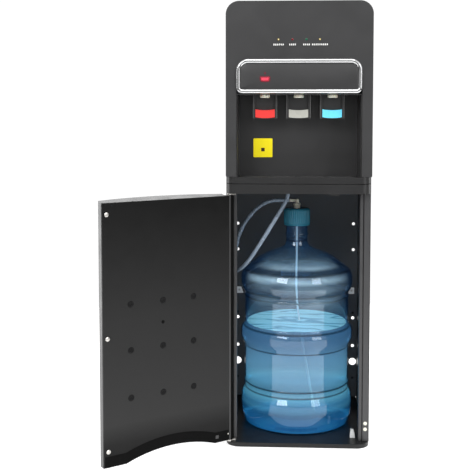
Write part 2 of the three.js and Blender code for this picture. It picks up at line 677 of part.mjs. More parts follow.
function fanFrame() {
  const { x, z, radius } = FAN;
  const shape = roundedRect(x - 40, z - 40, x + 40, z + 40, [5, 5, 5, 5]);
  const ring = cut(
    upright(shape, FAN_BACK - FAN_DEPTH, FAN_BACK), bar("y", radius + 1.5, 60, [x, FAN_BACK, z], 24));
  const spider = [0, 1].map((i) => i
    ? block([x - 38, FAN_BACK - FAN_DEPTH, z - 2], [x + 38, FAN_BACK - FAN_DEPTH + 2.5, z + 2])
    : block([x - 2, FAN_BACK - FAN_DEPTH, z - 38], [x + 2, FAN_BACK - FAN_DEPTH + 2.5, z + 38]));
  return join(ring, ...spider);
}

function fanRotor() {
  const { x, z, radius } = FAN;
  const middle = FAN_BACK - FAN_DEPTH / 2 + 2.5;
  const hub = bar("y", 12, 12, [0, 0, 0], 16);
  const blades = Array.from({ length: 7 }, (_, i) =>
    new THREE.BoxGeometry(radius - 9, 1.6, 14)
      .translate((radius + 9) / 2, 0, 0)
      .rotateX(0.6)
      .rotateY((2 * Math.PI * i) / 7));
  return join(hub, ...blades).translate(x, middle, z);
}

function heatSink() {
  const { x, z } = FAN;
  const back = FAN_BACK - FAN_DEPTH - GAP - 1;
  const fins = Array.from({ length: 9 }, (_, i) =>
    block([x - 36 + i * 9 - 1, back - 22, z - 36], [x - 36 + i * 9 + 1, back, z + 36]));
  return join(block([x - 37, back - 26, z - 36], [x + 37, back - 21, z + 36]), ...fins);
}

function controlBoard() {
  return block([-70, FRONT + 12, 905], [70, FRONT + 13.6, 965]);
}

// A ring gland for the mains lead.
function powerInlet() {
  const { x, z } = INLET;
  const body = join(bar("y", 8, 12, [x, REAR - 4.5, z], 16), bar("y", 11, 1.2, [x, REAR + 0.8 - GAP, z], 16));
  return cut(body, bar("y", 3.6, 40, [x, REAR, z], 12));
}

function drainCap() {
  const { x, z } = DRAIN;
  return join(bar("y", 7, 20, [x, REAR - 9, z], 16), bar("y", 12, 1.2, [x, REAR + 0.8 - GAP, z], 12));
}

// A rocker tilted into its on position.
function rocker(x) {
  const shape = [[-10.5, -2], [0, -0.6], [10.5, -2], [10.5, 5], [-10.5, 5]];
  const points = shape.map(([z, y]) => new THREE.Vector2(z, y));
  return new THREE.ExtrudeGeometry(new THREE.Shape(points), { depth: 13.6, bevelEnabled: false })
    .translate(0, 0, -6.8)
    .rotateY(-Math.PI / 2)
    .rotateZ(Math.PI)
    .rotateX(THREE.MathUtils.degToRad(ROCKER_TILT_DEG))
    .translate(x, REAR - 1, SWITCH_Z);
}

function buildInternals() {
  add("cold_tank", tank(-75, 60, 700, 850, 62), STEEL);
  add("hot_tank", tank(75, 60, 700, 830, 52), STEEL);
  add("water_pump", pump(), DARK_PLASTIC);
  add("fan_frame", fanFrame(), BLACK_SHEET);
  add("fan_rotor", fanRotor(), BLACK_SHEET);
  add("heat_sink", heatSink(), finish(0xb8bcc0, 0.4, 1));
  add("control_board", controlBoard(), finish(0x1f5a34, 0.6));
  add("power_inlet", powerInlet(), DARK_PLASTIC);
  add("drain_cap", drainCap(), DARK_PLASTIC);
  const tops = [0xb3201c, 0x1c8a4a];
  SWITCHES.forEach(([name, x], i) => add(name, rocker(x), finish(tops[i], 0.4)));
}

function buildHardware() {
  add("hinge_bracket_top", hingeBracket(true), STEEL);
  add("hinge_bracket_bottom", hingeBracket(false), STEEL);
  add("door_catch", doorCatch(), DARK_PLASTIC);
  add("bottle_stop", bottleStop(), finish(0x8a8c8e, 0.5));
  add("rear_clip_left", rearClip(-1), finish(0xb4b8b6, 0.5));
  add("rear_clip_right", rearClip(1), finish(0xb4b8b6, 0.5));
  add("drip_tray", dripTray(), DARK_PLASTIC);
  add("drip_grille", dripGrille(), DARK_PLASTIC);
}

buildCabinet();
buildTaps();
buildDoor();
buildBottle();
buildHardware();
buildInternals();

export default root;
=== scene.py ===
import contextlib
import json
import math

import bmesh
import bpy
from mathutils import Matrix, Vector

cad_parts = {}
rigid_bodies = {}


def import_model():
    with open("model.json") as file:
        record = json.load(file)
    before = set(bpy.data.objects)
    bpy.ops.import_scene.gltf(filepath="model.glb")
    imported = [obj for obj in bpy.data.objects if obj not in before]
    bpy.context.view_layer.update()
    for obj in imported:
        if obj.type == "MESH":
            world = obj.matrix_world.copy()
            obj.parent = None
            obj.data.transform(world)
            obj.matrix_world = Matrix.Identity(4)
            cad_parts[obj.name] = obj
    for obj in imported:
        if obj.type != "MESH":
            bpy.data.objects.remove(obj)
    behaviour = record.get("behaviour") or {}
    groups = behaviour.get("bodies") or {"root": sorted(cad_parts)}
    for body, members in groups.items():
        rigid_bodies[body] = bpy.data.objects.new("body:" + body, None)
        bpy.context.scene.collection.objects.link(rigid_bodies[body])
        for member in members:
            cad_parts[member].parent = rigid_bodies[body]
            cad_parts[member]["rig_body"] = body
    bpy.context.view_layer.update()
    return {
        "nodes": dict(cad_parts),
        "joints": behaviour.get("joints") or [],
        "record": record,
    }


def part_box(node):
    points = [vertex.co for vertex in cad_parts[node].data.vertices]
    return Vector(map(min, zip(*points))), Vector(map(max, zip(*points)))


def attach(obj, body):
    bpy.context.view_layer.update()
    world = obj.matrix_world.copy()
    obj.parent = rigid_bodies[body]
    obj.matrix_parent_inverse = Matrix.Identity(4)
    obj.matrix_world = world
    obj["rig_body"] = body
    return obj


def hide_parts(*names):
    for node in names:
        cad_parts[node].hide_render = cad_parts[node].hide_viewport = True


# A floor-standing water dispenser with its bay door open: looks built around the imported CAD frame.
# Outlines and profiles are in millimetres and are scaled once, in make(). +Z is up and -Y the front.

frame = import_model()

MM = 0.001
SLOT_OF = {row["node"]: row["material_slot"] for row in frame["record"]["subparts"]}
JOINTS = {joint["name"]: joint for joint in frame["joints"]}
BODY_OF = {name: obj["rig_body"] for name, obj in frame["nodes"].items()}


def span(node):
    """A node's lowest and highest corner at rest, in millimetres."""
    low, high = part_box(node)
    return low / MM, high / MM


def middle(node):
    low, high = span(node)
    return (low + high) / 2


def linked(name, data):
    """A new object in the scene."""
    obj = bpy.data.objects.new(name, data)
    bpy.context.scene.collection.objects.link(obj)
    return obj


# ---- camera
def make_camera():
    """The photograph's viewpoint: a little left of the cabinet's middle, near its upper third."""
    data = bpy.data.cameras.new("camera")
    data.lens = 68.87
    data.sensor_width = 36
    data.shift_y = -0.14
    data.clip_end = 50
    camera = linked("camera", data)
    camera.location = (-0.0464, -2.2035, 0.775)
    camera.rotation_euler = (math.radians(90 - 3.73), 0, math.radians(2.755))
    bpy.context.scene.camera = camera


make_camera()


# ---- node materials
def new_node(tree, kind, **inputs):
    """A shader node with the given values in its sockets, _ standing for a space."""
    made = tree.nodes.new(f"ShaderNode{kind}")
    for socket, value in inputs.items():
        made.inputs[socket.replace("_", " ")].default_value = value
    return made


class Look:
    """A Principled material with procedural detail in the object's own coordinates."""

    def __init__(self, name, color, roughness, **constants):
        self.name = name
        self.material = bpy.data.materials.new(name)
        self.material.use_nodes = True
        self.tree = self.material.node_tree
        self.shader = self.tree.nodes["Principled BSDF"]
        self.color = color
        self.roughness = roughness
        self.set("Base Color", (*color, 1))
        self.set("Roughness", roughness)
        for socket, value in constants.items():
            self.set(socket.replace("_", " "), value)

    def set(self, socket, value):
        self.shader.inputs[socket].default_value = value

    def node(self, kind, **inputs):
        return new_node(self.tree, kind, **inputs)

    def link(self, source, target):
        self.tree.links.new(source, target)

    def feed(self, source, socket):
        """Links an output to one of the shader's sockets."""
        self.link(source, self.shader.inputs[socket])

    def place(self, **mapping):
        """The object's own coordinates, scaled or turned."""
        coords = self.node("TexCoord")
        moved = self.node("Mapping", **mapping)
        self.link(coords.outputs["Object"], moved.inputs["Vector"])
        return moved.outputs["Vector"]

    def noise(self, scale, stretch=(1, 1, 1), detail=3.0, distortion=0.0):
        """Noise of about 1/scale metres a cell."""
        texture = self.node("TexNoise", Scale=scale, Detail=detail, Distortion=distortion)
        self.link(self.place(Scale=stretch), texture.inputs["Vector"])
        return texture.outputs["Fac"]

    def remap(self, source, low, high, start=0.3, end=0.7):
        node = self.node("MapRange", From_Min=start, From_Max=end, To_Min=low, To_Max=high)
        self.link(source, node.inputs["Value"])
        return node.outputs["Result"]

    def mixer(self, first):
        """A colour mix that starts from its first colour."""
        mix = self.node("Mix")
        mix.data_type = "RGBA"
        mix.inputs["A"].default_value = (*first, 1)
        return mix

    def mottle(self, source, spread):
        """Colour that drifts by a share of itself."""
        dark, light = ([min(1, c * k) for c in self.color] for k in (1 - spread, 1 + spread))
        mix = self.mixer(dark)
        mix.inputs["B"].default_value = (*light, 1)
        self.link(self.remap(source, 0, 1), mix.inputs["Factor"])
        self.feed(mix.outputs["Result"], "Base Color")
        return self

    def scuff(self, source, spread):
        """Roughness that drifts up and down by spread."""
        low, high = max(0, self.roughness - spread), min(1, self.roughness + spread)
        self.feed(self.remap(source, low, high), "Roughness")
        return self

    def grain(self, source, height):
        """A bump of that height in millimetres."""
        bump = self.node("Bump", Strength=1.0, Distance=height * MM)
        self.link(source, bump.inputs["Height"])
        self.feed(bump.outputs["Normal"], "Normal")
        return self

    def by_height(self, stops):
        """A colour that changes with height: stops are (millimetres up, colour), from the lowest."""
        start, end = stops[0][0], stops[-1][0]
        ramp = self.node("ValToRGB")
        elements = ramp.color_ramp.elements
        while len(elements) < len(stops):
            elements.new(0.5)
        for element, (z, color) in zip(elements, stops):
            element.position = (z - start) / (end - start)
            element.color = (*color, 1)
        split = self.node("SeparateXYZ")
        self.link(self.place(), split.inputs["Vector"])
        self.link(self.remap(split.outputs["Z"], 0, 1, start * MM, end * MM), ramp.inputs["Fac"])
        return ramp.outputs["Color"]


def moulded(name, color, roughness, texture=1400, height=0.02, **constants):
    """Plastic from a textured mould: a fine grain, faint flow marks and handling sheen."""
    look = Look(name, color, roughness, **constants)
    look.mottle(look.noise(9, detail=4), 0.07)
    look.scuff(look.noise(26, detail=5), 0.05)
    return look.grain(look.noise(texture, detail=2), height)


def painted(name, color, roughness, **constants):
    """Powder coat on sheet steel, with its orange peel."""
    look = Look(name, color, roughness, **constants)
    look.mottle(look.noise(5, detail=3), 0.06)
    look.scuff(look.noise(40, detail=4), 0.06)
    return look.grain(look.noise(420, detail=2), 0.03)


def metal(name, color, roughness):
    """Metal with fine lines of polish or brushing."""
    look = Look(name, color, roughness, Metallic=1.0)
    stretch = (1, 1, 30)
    look.mottle(look.noise(14), 0.04)
    look.scuff(look.noise(180, stretch, detail=4), 0.05)
    return look.grain(look.noise(900, stretch, detail=2), 0.003)


def polished(name, color, roughness):
    """Bright plating, a little less even where it has been wiped."""
    look = Look(name, color, roughness, Metallic=1.0)
    look.mottle(look.noise(14), 0.03)
    return look.scuff(look.noise(22, detail=2), 0.03)


def glowing(look, color, strength):
    look.set("Emission Color", (*color, 1))
    look.set("Emission Strength", strength)
    return look


BOTTLE_LINES = (98, 112, 203, 250, 324, 337, 388, 458)
LINE_HALF = 2.6


def bottle_look():
    """Blue polycarbonate: clear, with slow waves, and deep blue bands of painted shade at its moulded
    lines, where it is also thicker.
    """
    look = Look("bottle_blue", (0.45, 0.67, 0.90), 0.015, Transmission_Weight=0.982, IOR=1.48)
    clear, deep = look.color, (0.02, 0.06, 0.14)
    stops = [(span("bottle")[0].z, (0.30, 0.55, 0.85))]
    # Deep blue bands at the moulded lines: painted shade.
    for z in BOTTLE_LINES:
        stops += [(z - LINE_HALF, clear), (z, deep), (z + LINE_HALF, clear)]
    look.feed(look.by_height(stops), "Base Color")
    bottle_shine(look)
    return look.grain(look.noise(9, (1, 1, 0.4), detail=0), 0.3)


# A faint painted blue glow over the whole bottle, under its painted reflections.
PAINTED_BODY_GLOW = (0.0003, 0.0022, 0.0065)
GLEAM_TINT = (0.70, 1.0, 1.16)
# Brightness of the bottle's painted reflections by height.
GLEAMS = [
    (250, 0), (257, 0.07), (264, 0.02),  # over the water
    (300, 0.06), (328, 0.15), (336, 0.13), (342, 0.03),  # the upper waist
    (351, 0.16), (366, 0.13), (375, 0.44), (380, 0.44), (390, 0.02),  # the upper bulge and its bright edge
    (397, 0.02), (403, 0.31), (413, 0.13), (424, 0.03), (445, 0),  # the shoulder, fading to the neck
]


def bottle_shine(look):
    """Painted broad studio reflections that glow on the bottle's front, bright on each bulge and dark in
    each waist, over a faint painted blue glow.
    """
    bands = look.by_height([(z, [bright * part for part in GLEAM_TINT]) for z, bright in GLEAMS])
    aim = look.node("VectorMath")
    aim.operation = "NORMALIZE"
    split = look.node("SeparateXYZ")
    look.link(look.place(Scale=(1, 1, 0)), aim.inputs[0])
    look.link(aim.outputs["Vector"], split.inputs["Vector"])
    front = look.remap(split.outputs["Y"], 1, 0, -0.90, -0.40)
    uneven = look.remap(look.noise(16, (0.5, 0.5, 2.2), detail=2, distortion=0.8), 0.45, 1.25)
    share = look.node("Math")
    share.operation = "MULTIPLY"
    look.link(front, share.inputs[0])
    look.link(uneven, share.inputs[1])
    mix = look.mixer(PAINTED_BODY_GLOW)
    mix.clamp_factor = False
    look.link(share.outputs["Value"], mix.inputs["Factor"])
    look.link(bands, mix.inputs["B"])
    look.feed(mix.outputs["Result"], "Emission Color")
    look.set("Emission Strength", 0.55)


# The water's colour by height, also used as its glow: painted light and shade.
WATER_PAINTED_LIGHT = [
    (14, (0.02, 0.15, 0.25)), (40, (0.015, 0.12, 0.20)), (58, (0.015, 0.10, 0.15)),  # the foot
    (70, (0.10, 0.28, 0.31)), (78, (0.07, 0.24, 0.30)), (96, (0.26, 0.55, 0.53)),  # the pale lower bulge
    (114, (0.15, 0.32, 0.35)), (135, (0.22, 0.42, 0.48)), (157, (0.24, 0.37, 0.41)),  # the waist
    (200, (0.16, 0.26, 0.31)), (228, (0.08, 0.15, 0.22)), (252, (0.06, 0.14, 0.20)),  # up to the surface
]


def water_look():
    """Water with the bottle's blue cast and painted light and shade by height in its colour and glow: pale
    in the body, dark at the waist and deep at the floor.
    """
    look = Look("water", (0.3, 0.6, 0.82), 0.03, Transmission_Weight=0.8, IOR=1.12)
    color = look.by_height(WATER_PAINTED_LIGHT)
    look.feed(color, "Base Color")
    look.feed(color, "Emission Color")
    look.set("Emission Strength", 0.70)
    return look.grain(look.noise(12, detail=1), 0.3)


def surface_look():
    """The water's surface as it catches the light, painted in its glowing colour: pale cyan with darker
    ripple lines.
    """
    look = Look("water_surface", (0.36, 0.72, 0.90), 0.08)
    wave = look.node("TexWave", Scale=6.0, Distortion=16.0, Detail=3.0, Detail_Scale=1.6)
    wave.bands_direction = "Y"
    look.link(look.place(Scale=(0.5, 1, 1), Rotation=(0, 0, 0.12)), wave.inputs["Vector"])
    ramp = look.node("ValToRGB")
    dark, pale = ramp.color_ramp.elements
    dark.color = (0.12, 0.34, 0.42, 1)
    pale.position = 0.30
    pale.color = (0.41, 0.70, 0.68, 1)
    look.link(wave.outputs["Fac"], ramp.inputs["Fac"])
    look.feed(ramp.outputs["Color"], "Base Color")
    look.feed(ramp.outputs["Color"], "Emission Color")
    look.set("Emission Strength", 0.85)
    return look.grain(wave.outputs["Fac"], 0.5)


LOOKS = (
    painted("dark_paint", (0.042, 0.042, 0.044), 0.40),
    painted("black_sheet", (0.019, 0.0195, 0.021), 0.38, Specular_IOR_Level=0.22),
    moulded("dark_plastic", (0.036, 0.036, 0.037), 0.33),
    polished("chrome", (0.60, 0.605, 0.61), 0.16),
    metal("steel", (0.62, 0.60, 0.57), 0.30),
    metal("aluminium", (0.70, 0.71, 0.72), 0.35),
    moulded("cream_plastic", (0.80, 0.76, 0.64), 0.34, height=0.01, Subsurface_Weight=0.1),
    glowing(moulded("lock_red", (0.80, 0.05, 0.09), 0.3), (1.0, 0.05, 0.09), 0.30),
    # The red and cyan inserts glow a little: painted light, for they hold no lamp.
    glowing(moulded("insert_red", (0.82, 0.05, 0.045), 0.28, height=0.008), (1, 0.04, 0.035), 0.14),
    moulded("insert_grey", (0.52, 0.52, 0.47), 0.30, height=0.008),
    glowing(moulded("insert_cyan", (0.16, 0.70, 0.88), 0.28, height=0.008), (0.12, 0.66, 0.9), 0.24),
    glowing(moulded("led_white", (0.16, 0.12, 0.03), 0.2, height=0.004), (1.0, 0.75, 0.2), 0.10),
    glowing(moulded("led_red", (0.16, 0.01, 0.015), 0.15, height=0.004), (0.8, 0.02, 0.03), 0.04),
    glowing(moulded("led_green", (0.01, 0.10, 0.05), 0.15, height=0.004), (0.02, 0.6, 0.3), 0.03),
    # The yellow label glows a little: painted light.
    glowing(moulded("label_yellow", (0.93, 0.78, 0.0), 0.42, 500, 0.01), (0.93, 0.76, 0.0), 0.25),
    bottle_look(),
    water_look(),
    moulded("cap_blue", (0.03, 0.20, 0.30), 0.22, height=0.008, Transmission_Weight=0.15, IOR=1.45),
    moulded("silicone", (0.32, 0.40, 0.50), 0.26, height=0.01, Transmission_Weight=0.35, IOR=1.4),
    moulded("grey_plastic", (0.70, 0.71, 0.71), 0.45),
    moulded("board_green", (0.02, 0.12, 0.05), 0.40),
    moulded("rocker_red", (0.55, 0.02, 0.02), 0.25, height=0.005),
    moulded("rocker_green", (0.01, 0.28, 0.10), 0.25, height=0.005),
)
LOOKS = {look.name: look for look in LOOKS}
# The rear panel's faint glow is painted light inside the bay.
BAY_SHEET = glowing(
    painted("bay_sheet", (0.07, 0.07, 0.075), 0.42, Specular_IOR_Level=0.25), (0.9, 1.0, 1.1), 0.010)
BASE_BLACK = moulded("base_black", (0.012, 0.012, 0.0125), 0.36, Specular_IOR_Level=0.3)
# The rear clips' glow is painted light.
CLIP_GREY = glowing(moulded("clip_grey", (0.72, 0.74, 0.75), 0.4), (1, 1, 1), 0.16)
BOSS_DARK = moulded("boss_dark", (0.006, 0.006, 0.0062), 0.5, Specular_IOR_Level=0.12)
BAND_DARK = moulded("band_dark", (0.021, 0.021, 0.0215), 0.34, Specular_IOR_Level=0.32)
# Grey strips on the paddles' rails: painted highlights along their edges.
RAIL_HIGHLIGHT = moulded("rail_highlight", (0.15, 0.15, 0.15), 0.3, height=0.004)
# The dip tube's glow is painted light.
TUBE_CLEAR = glowing(moulded("tube_clear", (0.82, 0.78, 0.72), 0.22, height=0.004), (0.9, 0.82, 0.76), 0.24)
MARK_WHITE = moulded("mark_white", (0.72, 0.72, 0.70), 0.5, height=0.004)
# Dark red for the padlock's print and for the child lock's bands of painted shade; its faint glow is
# painted light.
MARK_AND_SHADE_RED = glowing(moulded("mark_and_shade_red", (0.12, 0.008, 0.02), 0.4, height=0.004), (0.5, 0.01, 0.03), 0.04)
LAMP_CORE = glowing(moulded("lamp_core", (0.9, 0.8, 0.5), 0.3, height=0.002), (1.0, 0.85, 0.45), 1.0)
MARK_DARK = moulded("mark_dark", (0.035, 0.02, 0.005), 0.45, height=0.004)
# Dull black: painted shade on the hinge barrel and in the door's blind hole, and the dark strip along the
# door's foot.
DULL_BLACK = moulded("dull_black", (0.003, 0.003, 0.003), 0.8, Specular_IOR_Level=0.08)
# Grey of the door sheet by height: painted shade, darkest at its head and foot.
DOOR_PAINTED_SHADE = (
    (0, 0.004), (62, 0.010), (105, 0.026), (240, 0.021), (330, 0.019), (460, 0.0115), (582, 0.004),
)


def door_sheet():
    """The door's inner sheet: black, with painted shade that darkens it towards its head and foot."""
    look = painted("door_sheet", (0.019, 0.019, 0.0195), 0.40, Specular_IOR_Level=0.13)
    look.feed(look.by_height([(z, (grey,) * 3) for z, grey in DOOR_PAINTED_SHADE]), "Base Color")
    return look


DOOR_SHEET = door_sheet()


# ---- meshes from outlines
@contextlib.contextmanager
def edited(mesh):
    """The mesh opened for editing and written back."""
    bm = bmesh.new()
    bm.from_mesh(mesh)
    yield bm
    bm.to_mesh(mesh)
    bm.free()


def make(name, verts, faces):
    """A mesh object from points in millimetres."""
    mesh = bpy.data.meshes.new(name)
    mesh.from_pydata([Vector(v) * MM for v in verts], [], faces)
    with edited(mesh) as bm:
        bmesh.ops.remove_doubles(bm, verts=bm.verts, dist=2e-6)
        bmesh.ops.recalc_face_normals(bm, faces=bm.faces)
    return linked(name, mesh)


def loft(name, rings, around=False):
    """Quads between rings of equal length: closed with flat ends, or joined last to first."""
    count = len(rings[0])
    faces = []
    for i in range(len(rings) if around else len(rings) - 1):
        j = (i + 1) % len(rings)
        for k in range(count):
            m = (k + 1) % count
            faces.append((i * count + k, i * count + m, j * count + m, j * count + k))
    if not around:
        faces.append(tuple(reversed(range(count))))
        faces.append(tuple((len(rings) - 1) * count + k for k in range(count)))
    return make(name, [point for ring in rings for point in ring], faces)


def extrude(name, outline, low, high, plane="xy"):
    """A solid from an outline in the xy plane, drawn up, or in the xz plane, drawn back."""
    if plane == "xz":
        return loft(name, [at_depth(outline, y) for y in (low, high)])
    return loft(name, [[(x, y, z) for x, y in outline] for z in (low, high)])


def block(low, high, turn=None):
    """A box used as a cutter or a core, turned about the origin first if a matrix is given."""
    outline = [(low[0], low[1]), (high[0], low[1]), (high[0], high[1]), (low[0], high[1])]
    obj = extrude("block", outline, low[2], high[2])
    if turn is not None:
        obj.data.transform(turn)
    return obj


def arc(x, y, radius, start, end, steps):
    """Points on an arc, its angles in degrees."""
    angles = (math.radians(start + (end - start) * i / steps) for i in range(steps + 1))
    return [(x + radius * math.cos(a), y + radius * math.sin(a)) for a in angles]


def circle(x, y, radius, sides=32):
    return arc(x, y, radius, 0, 360, sides)[:-1]


def rounded(x0, y0, x1, y1, radii, steps=10):
    """A rectangle with its own corner radii: low left, low right, high right, high left."""
    corners = [(x0, y0, 1, 1, 180), (x1, y0, -1, 1, 270), (x1, y1, -1, -1, 0), (x0, y1, 1, -1, 90)]
    points = []
    for (x, y, sx, sy, start), radius in zip(corners, radii):
        if radius:
            points += arc(x + sx * radius, y + sy * radius, radius, start, start + 90, steps)
        else:
            points.append((x, y))
    return points


def facing(low, high, radii, steps, grow=0):
    """The rounded outline between two corners, as seen from the front."""
    return rounded(low.x - grow, low.z - grow, high.x + grow, high.z + grow, radii, steps)


def pad(x, z, half_width, half_height, radius, steps, low, high):
    """A small rounded plate that faces the front, between two depths."""
    outline = rounded(x - half_width, z - half_height, x + half_width, z + half_height, [radius] * 4, steps)
    return extrude("pad", outline, low, high, "xz")


def slab(low, high, radii, steps):
    """A plate between two corners, its outline rounded as seen from the front."""
    return extrude("slab", facing(low, high, radii, steps), low.y, high.y, "xz")


def at_depth(outline, y):
    """An outline seen from the front, set at a depth."""
    return [(x, y, z) for x, z in outline]


def from_base(base, profile):
    """A profile whose second measure counts from a base."""
    return [(across, base + along) for across, along in profile]


def turned(name, profile, centre=(0, 0, 0), sides=48, axis="z"):
    """A solid of revolution: profile is (radius, distance along the axis), in order from axis to axis."""
    verts, faces, rows = [], [], []
    for radius, along in profile:
        if radius < 1e-6:
            rows.append([len(verts)])
            verts.append((0, 0, along))
        else:
            rows.append(list(range(len(verts), len(verts) + sides)))
            verts += [(x, y, along) for x, y in circle(0, 0, radius, sides)]
    for a, b in zip(rows, rows[1:]):
        for k in range(sides):
            m = (k + 1) % sides
            face = list(dict.fromkeys((a[k % len(a)], a[m % len(a)], b[m % len(b)], b[k % len(b)])))
            if len(face) > 2:
                faces.append(face)
    if axis == "y":
        verts = [(x, z, -y) for x, y, z in verts]
    elif axis == "x":
        verts = [(z, x, y) for x, y, z in verts]
    return make(name, [Vector(v) + Vector(centre) for v in verts], faces)


def filleted(points, radius):
    """The same line with each inner corner rounded, as far as its neighbours allow."""
    steps = 5
    line = [Vector(p) for p in points]
    out = [tuple(line[0])]
    for before, corner, after in zip(line, line[1:], line[2:]):
        reach = min(radius, (before - corner).length * 0.45, (after - corner).length * 0.45)
        start = corner + (before - corner).normalized() * reach
        end = corner + (after - corner).normalized() * reach
        for i in range(steps + 1):
            t = i / steps
            out.append(tuple(start.lerp(corner, t).lerp(corner.lerp(end, t), t)))
    out.append(tuple(line[-1]))
    return out


def evaluated(obj):
    """A new mesh of an object with its modifiers, or of a curve."""
    graph = bpy.context.evaluated_depsgraph_get()
    return bpy.data.meshes.new_from_object(obj.evaluated_get(graph))


def split_wide(bm):
    """Splits the faces of more than four corners."""
    bmesh.ops.triangulate(bm, faces=[face for face in bm.faces if len(face.verts) > 4])


def applied(obj):
    """Bakes the modifiers into the mesh."""
    mesh = evaluated(obj)
    obj.modifiers.clear()
    with edited(mesh) as bm:
        split_wide(bm)
    obj.data = mesh
    return obj


def combine(obj, tools, operation):
    for tool in tools:
        modifier = obj.modifiers.new("combine", "BOOLEAN")
        modifier.operation = operation
        modifier.solver = "EXACT"
        modifier.object = tool
    applied(obj)
    for tool in tools:
        bpy.data.objects.remove(tool)
    return obj


def cut(obj, *tools):
    return combine(obj, tools, "DIFFERENCE")


def fuse(obj, *tools):
    return combine(obj, tools, "UNION")


def soften(obj, width, segments=3, angle=32):
    """Rounds the hard edges by width in millimetres and shades the flats flat."""
    bevel = obj.modifiers.new("edges", "BEVEL")
    bevel.width = width * MM
    bevel.segments = segments
    bevel.limit_method = "ANGLE"
    bevel.angle_limit = math.radians(angle)
    bevel.miter_outer = "MITER_ARC"
    obj.data.shade_smooth()
    normals = obj.modifiers.new("normals", "WEIGHTED_NORMAL")
    normals.weight = 80
    return obj


def smooth(obj, angle=38):
    obj.data.shade_smooth()
    obj.data.set_sharp_from_angle(angle=math.radians(angle))
    return obj


def dress(obj, look, body, stands_for=()):
    """Gives a piece its material and its body, and hides the CAD nodes it stands for."""
    obj.data.materials.clear()
    obj.data.materials.append(look.material)
    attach(obj, body)
    if stands_for:
        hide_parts(*stands_for)
    return obj


DONE = set()


def instead(obj, node, look=None):
    """The piece takes a CAD node's place, with its body and its slot's material or one of its own."""
    DONE.add(node)
    obj.name = f"{node}_shape"
    slot = SLOT_OF[node]
    return dress(obj, look or LOOKS[slot], BODY_OF[node], [node])


def detail(obj, name, look, body="cabinet", slot=None):
    """A piece that no CAD node has."""
    obj.name = name
    return dress(obj, look, body)


def refined(node, width=0.5, segments=2, look=None):
    """A copy of a CAD node with its flat triangles merged and its edges rounded."""
    mesh = frame["nodes"][node].data.copy()
    with edited(mesh) as bm:
        bmesh.ops.remove_doubles(bm, verts=bm.verts, dist=1e-5)
        bmesh.ops.dissolve_limit(bm, angle_limit=math.radians(1), verts=bm.verts, edges=bm.edges)
        split_wide(bm)
        bmesh.ops.recalc_face_normals(bm, faces=bm.faces)
    return instead(soften(linked(node, mesh), width, segments), node, look)


# ---- feed hose
HOSE_RADIUS = 4.5
HOSE_ROUTE = [
    (-18.3, 0, 555), (-27, 0, 555), (-42, -1, 555.5), (-59, -2, 554.5), (-77, -3, 549), (-96, -4, 537),
    (-112, -4, 521), (-125, -2, 503), (-135.5, 1, 484), (-143, 3, 465), (-148, 3, 446), (-151, -2, 427),
    (-152.5, -13, 409), (-152.5, -29, 396), (-150, -47, 389.5), (-144, -64, 391), (-134.5, -77, 399),
    (-122, -85, 412), (-109, -89, 429), (-96, -90, 449), (-81, -88, 472), (-65, -84, 498), (-50, -79, 522),
    (-37.5, -74, 543), (-28.5, -70.5, 559), (-23.5, -68.5, 573), (-22, -68, 584),
]


def smooth_curve(name, route, radius):
    """A round bar along one smooth spline through the points, in millimetres."""
    curve = bpy.data.curves.new(name, "CURVE")
    curve.dimensions = "3D"
    curve.bevel_depth = radius * MM
    curve.bevel_resolution = 6
    curve.resolution_u = 8
    curve.use_fill_caps = True
    spline = curve.splines.new("BEZIER")
    spline.bezier_points.add(len(route) - 1)
    for point, place in zip(spline.bezier_points, route):
        point.co = Vector(place) * MM
        point.handle_left_type = point.handle_right_type = "AUTO"
    return linked(name, curve)


def meshed(curve):
    """The same bar as a mesh."""
    name, mesh = curve.name, evaluated(curve)
    bpy.data.objects.remove(curve)
    return linked(name, mesh)


def feed_hose():
    hose = instead(smooth_curve("feed_hose", HOSE_ROUTE, HOSE_RADIUS), "feed_hose")


feed_hose()


# ---- cabinet shell
WALL = 3
GAP = 0.3
FACADE_LOW, FACADE_HIGH = span("front_facade")
SHOULDER = 30  # radius of the facade's upper corners
PLAN_CORNER = 22.6  # plan radius of the header
REAR_X = 153  # the rear panel's holes and screws stand this far from the middle
REAR_HOLES = ((476, 4), (407, 4), (224, 4), (149, 4), (106, 9.5))  # height and radius
VENT_SLOTS = 9
VENT_PITCH = 8
FITTING_HOLE = 8.3
LAMPS = ("led_power", "led_hot", "led_cold", "led_child_lock")
LAMP_HOLE = 2.8


def bar(axis, radius, low, high, at, sides=32):
    """A round bar between two distances along an axis, through the point at."""
    centre = {"x": (0, at[0], at[1]), "y": (at[0], 0, at[1]), "z": (at[0], at[1], 0)}[axis]
    return turned("bar", [(0, low), (radius, low), (radius, high), (0, high)], centre, sides, axis)


def base_plate():
    low, high = span("base_plate")
    plate = extrude("base", rounded(low.x, low.y, high.x, high.y, [31, 31, 6, 6], 20), low.z, high.z)
    instead(soften(plate, 2.2, 4), "base_plate", BASE_BLACK)


def rear_panel():
    """Sheet steel with its rows of round holes, the fan's vent and the cut-outs for the fittings."""
    low, high = span("rear_panel")
    through = (low.y - 5, high.y + 5)
    sheet = slab(low, high, [2] * 4, 4)
    tools = [bar("y", radius, *through, (x, z)) for x in (-REAR_X, REAR_X) for z, radius in REAR_HOLES]
    lowest = middle("fan_rotor").z - (VENT_SLOTS - 1) / 2 * VENT_PITCH
    for i in range(VENT_SLOTS):
        tools.append(pad(0, lowest + i * VENT_PITCH, 32, 2, 1.9, 5, *through))
    for node in ("power_inlet", "drain_cap"):
        centre = middle(node)
        tools.append(bar("y", FITTING_HOLE, *through, (centre.x, centre.z)))
    for node in ("rocker_hot", "rocker_cold"):
        centre = middle(node)
        tools.append(pad(centre.x, centre.z, 7.5, 12, 1, 3, *through))
    instead(soften(cut(sheet, *tools), 0.3, 2), "rear_panel", BAY_SHEET)


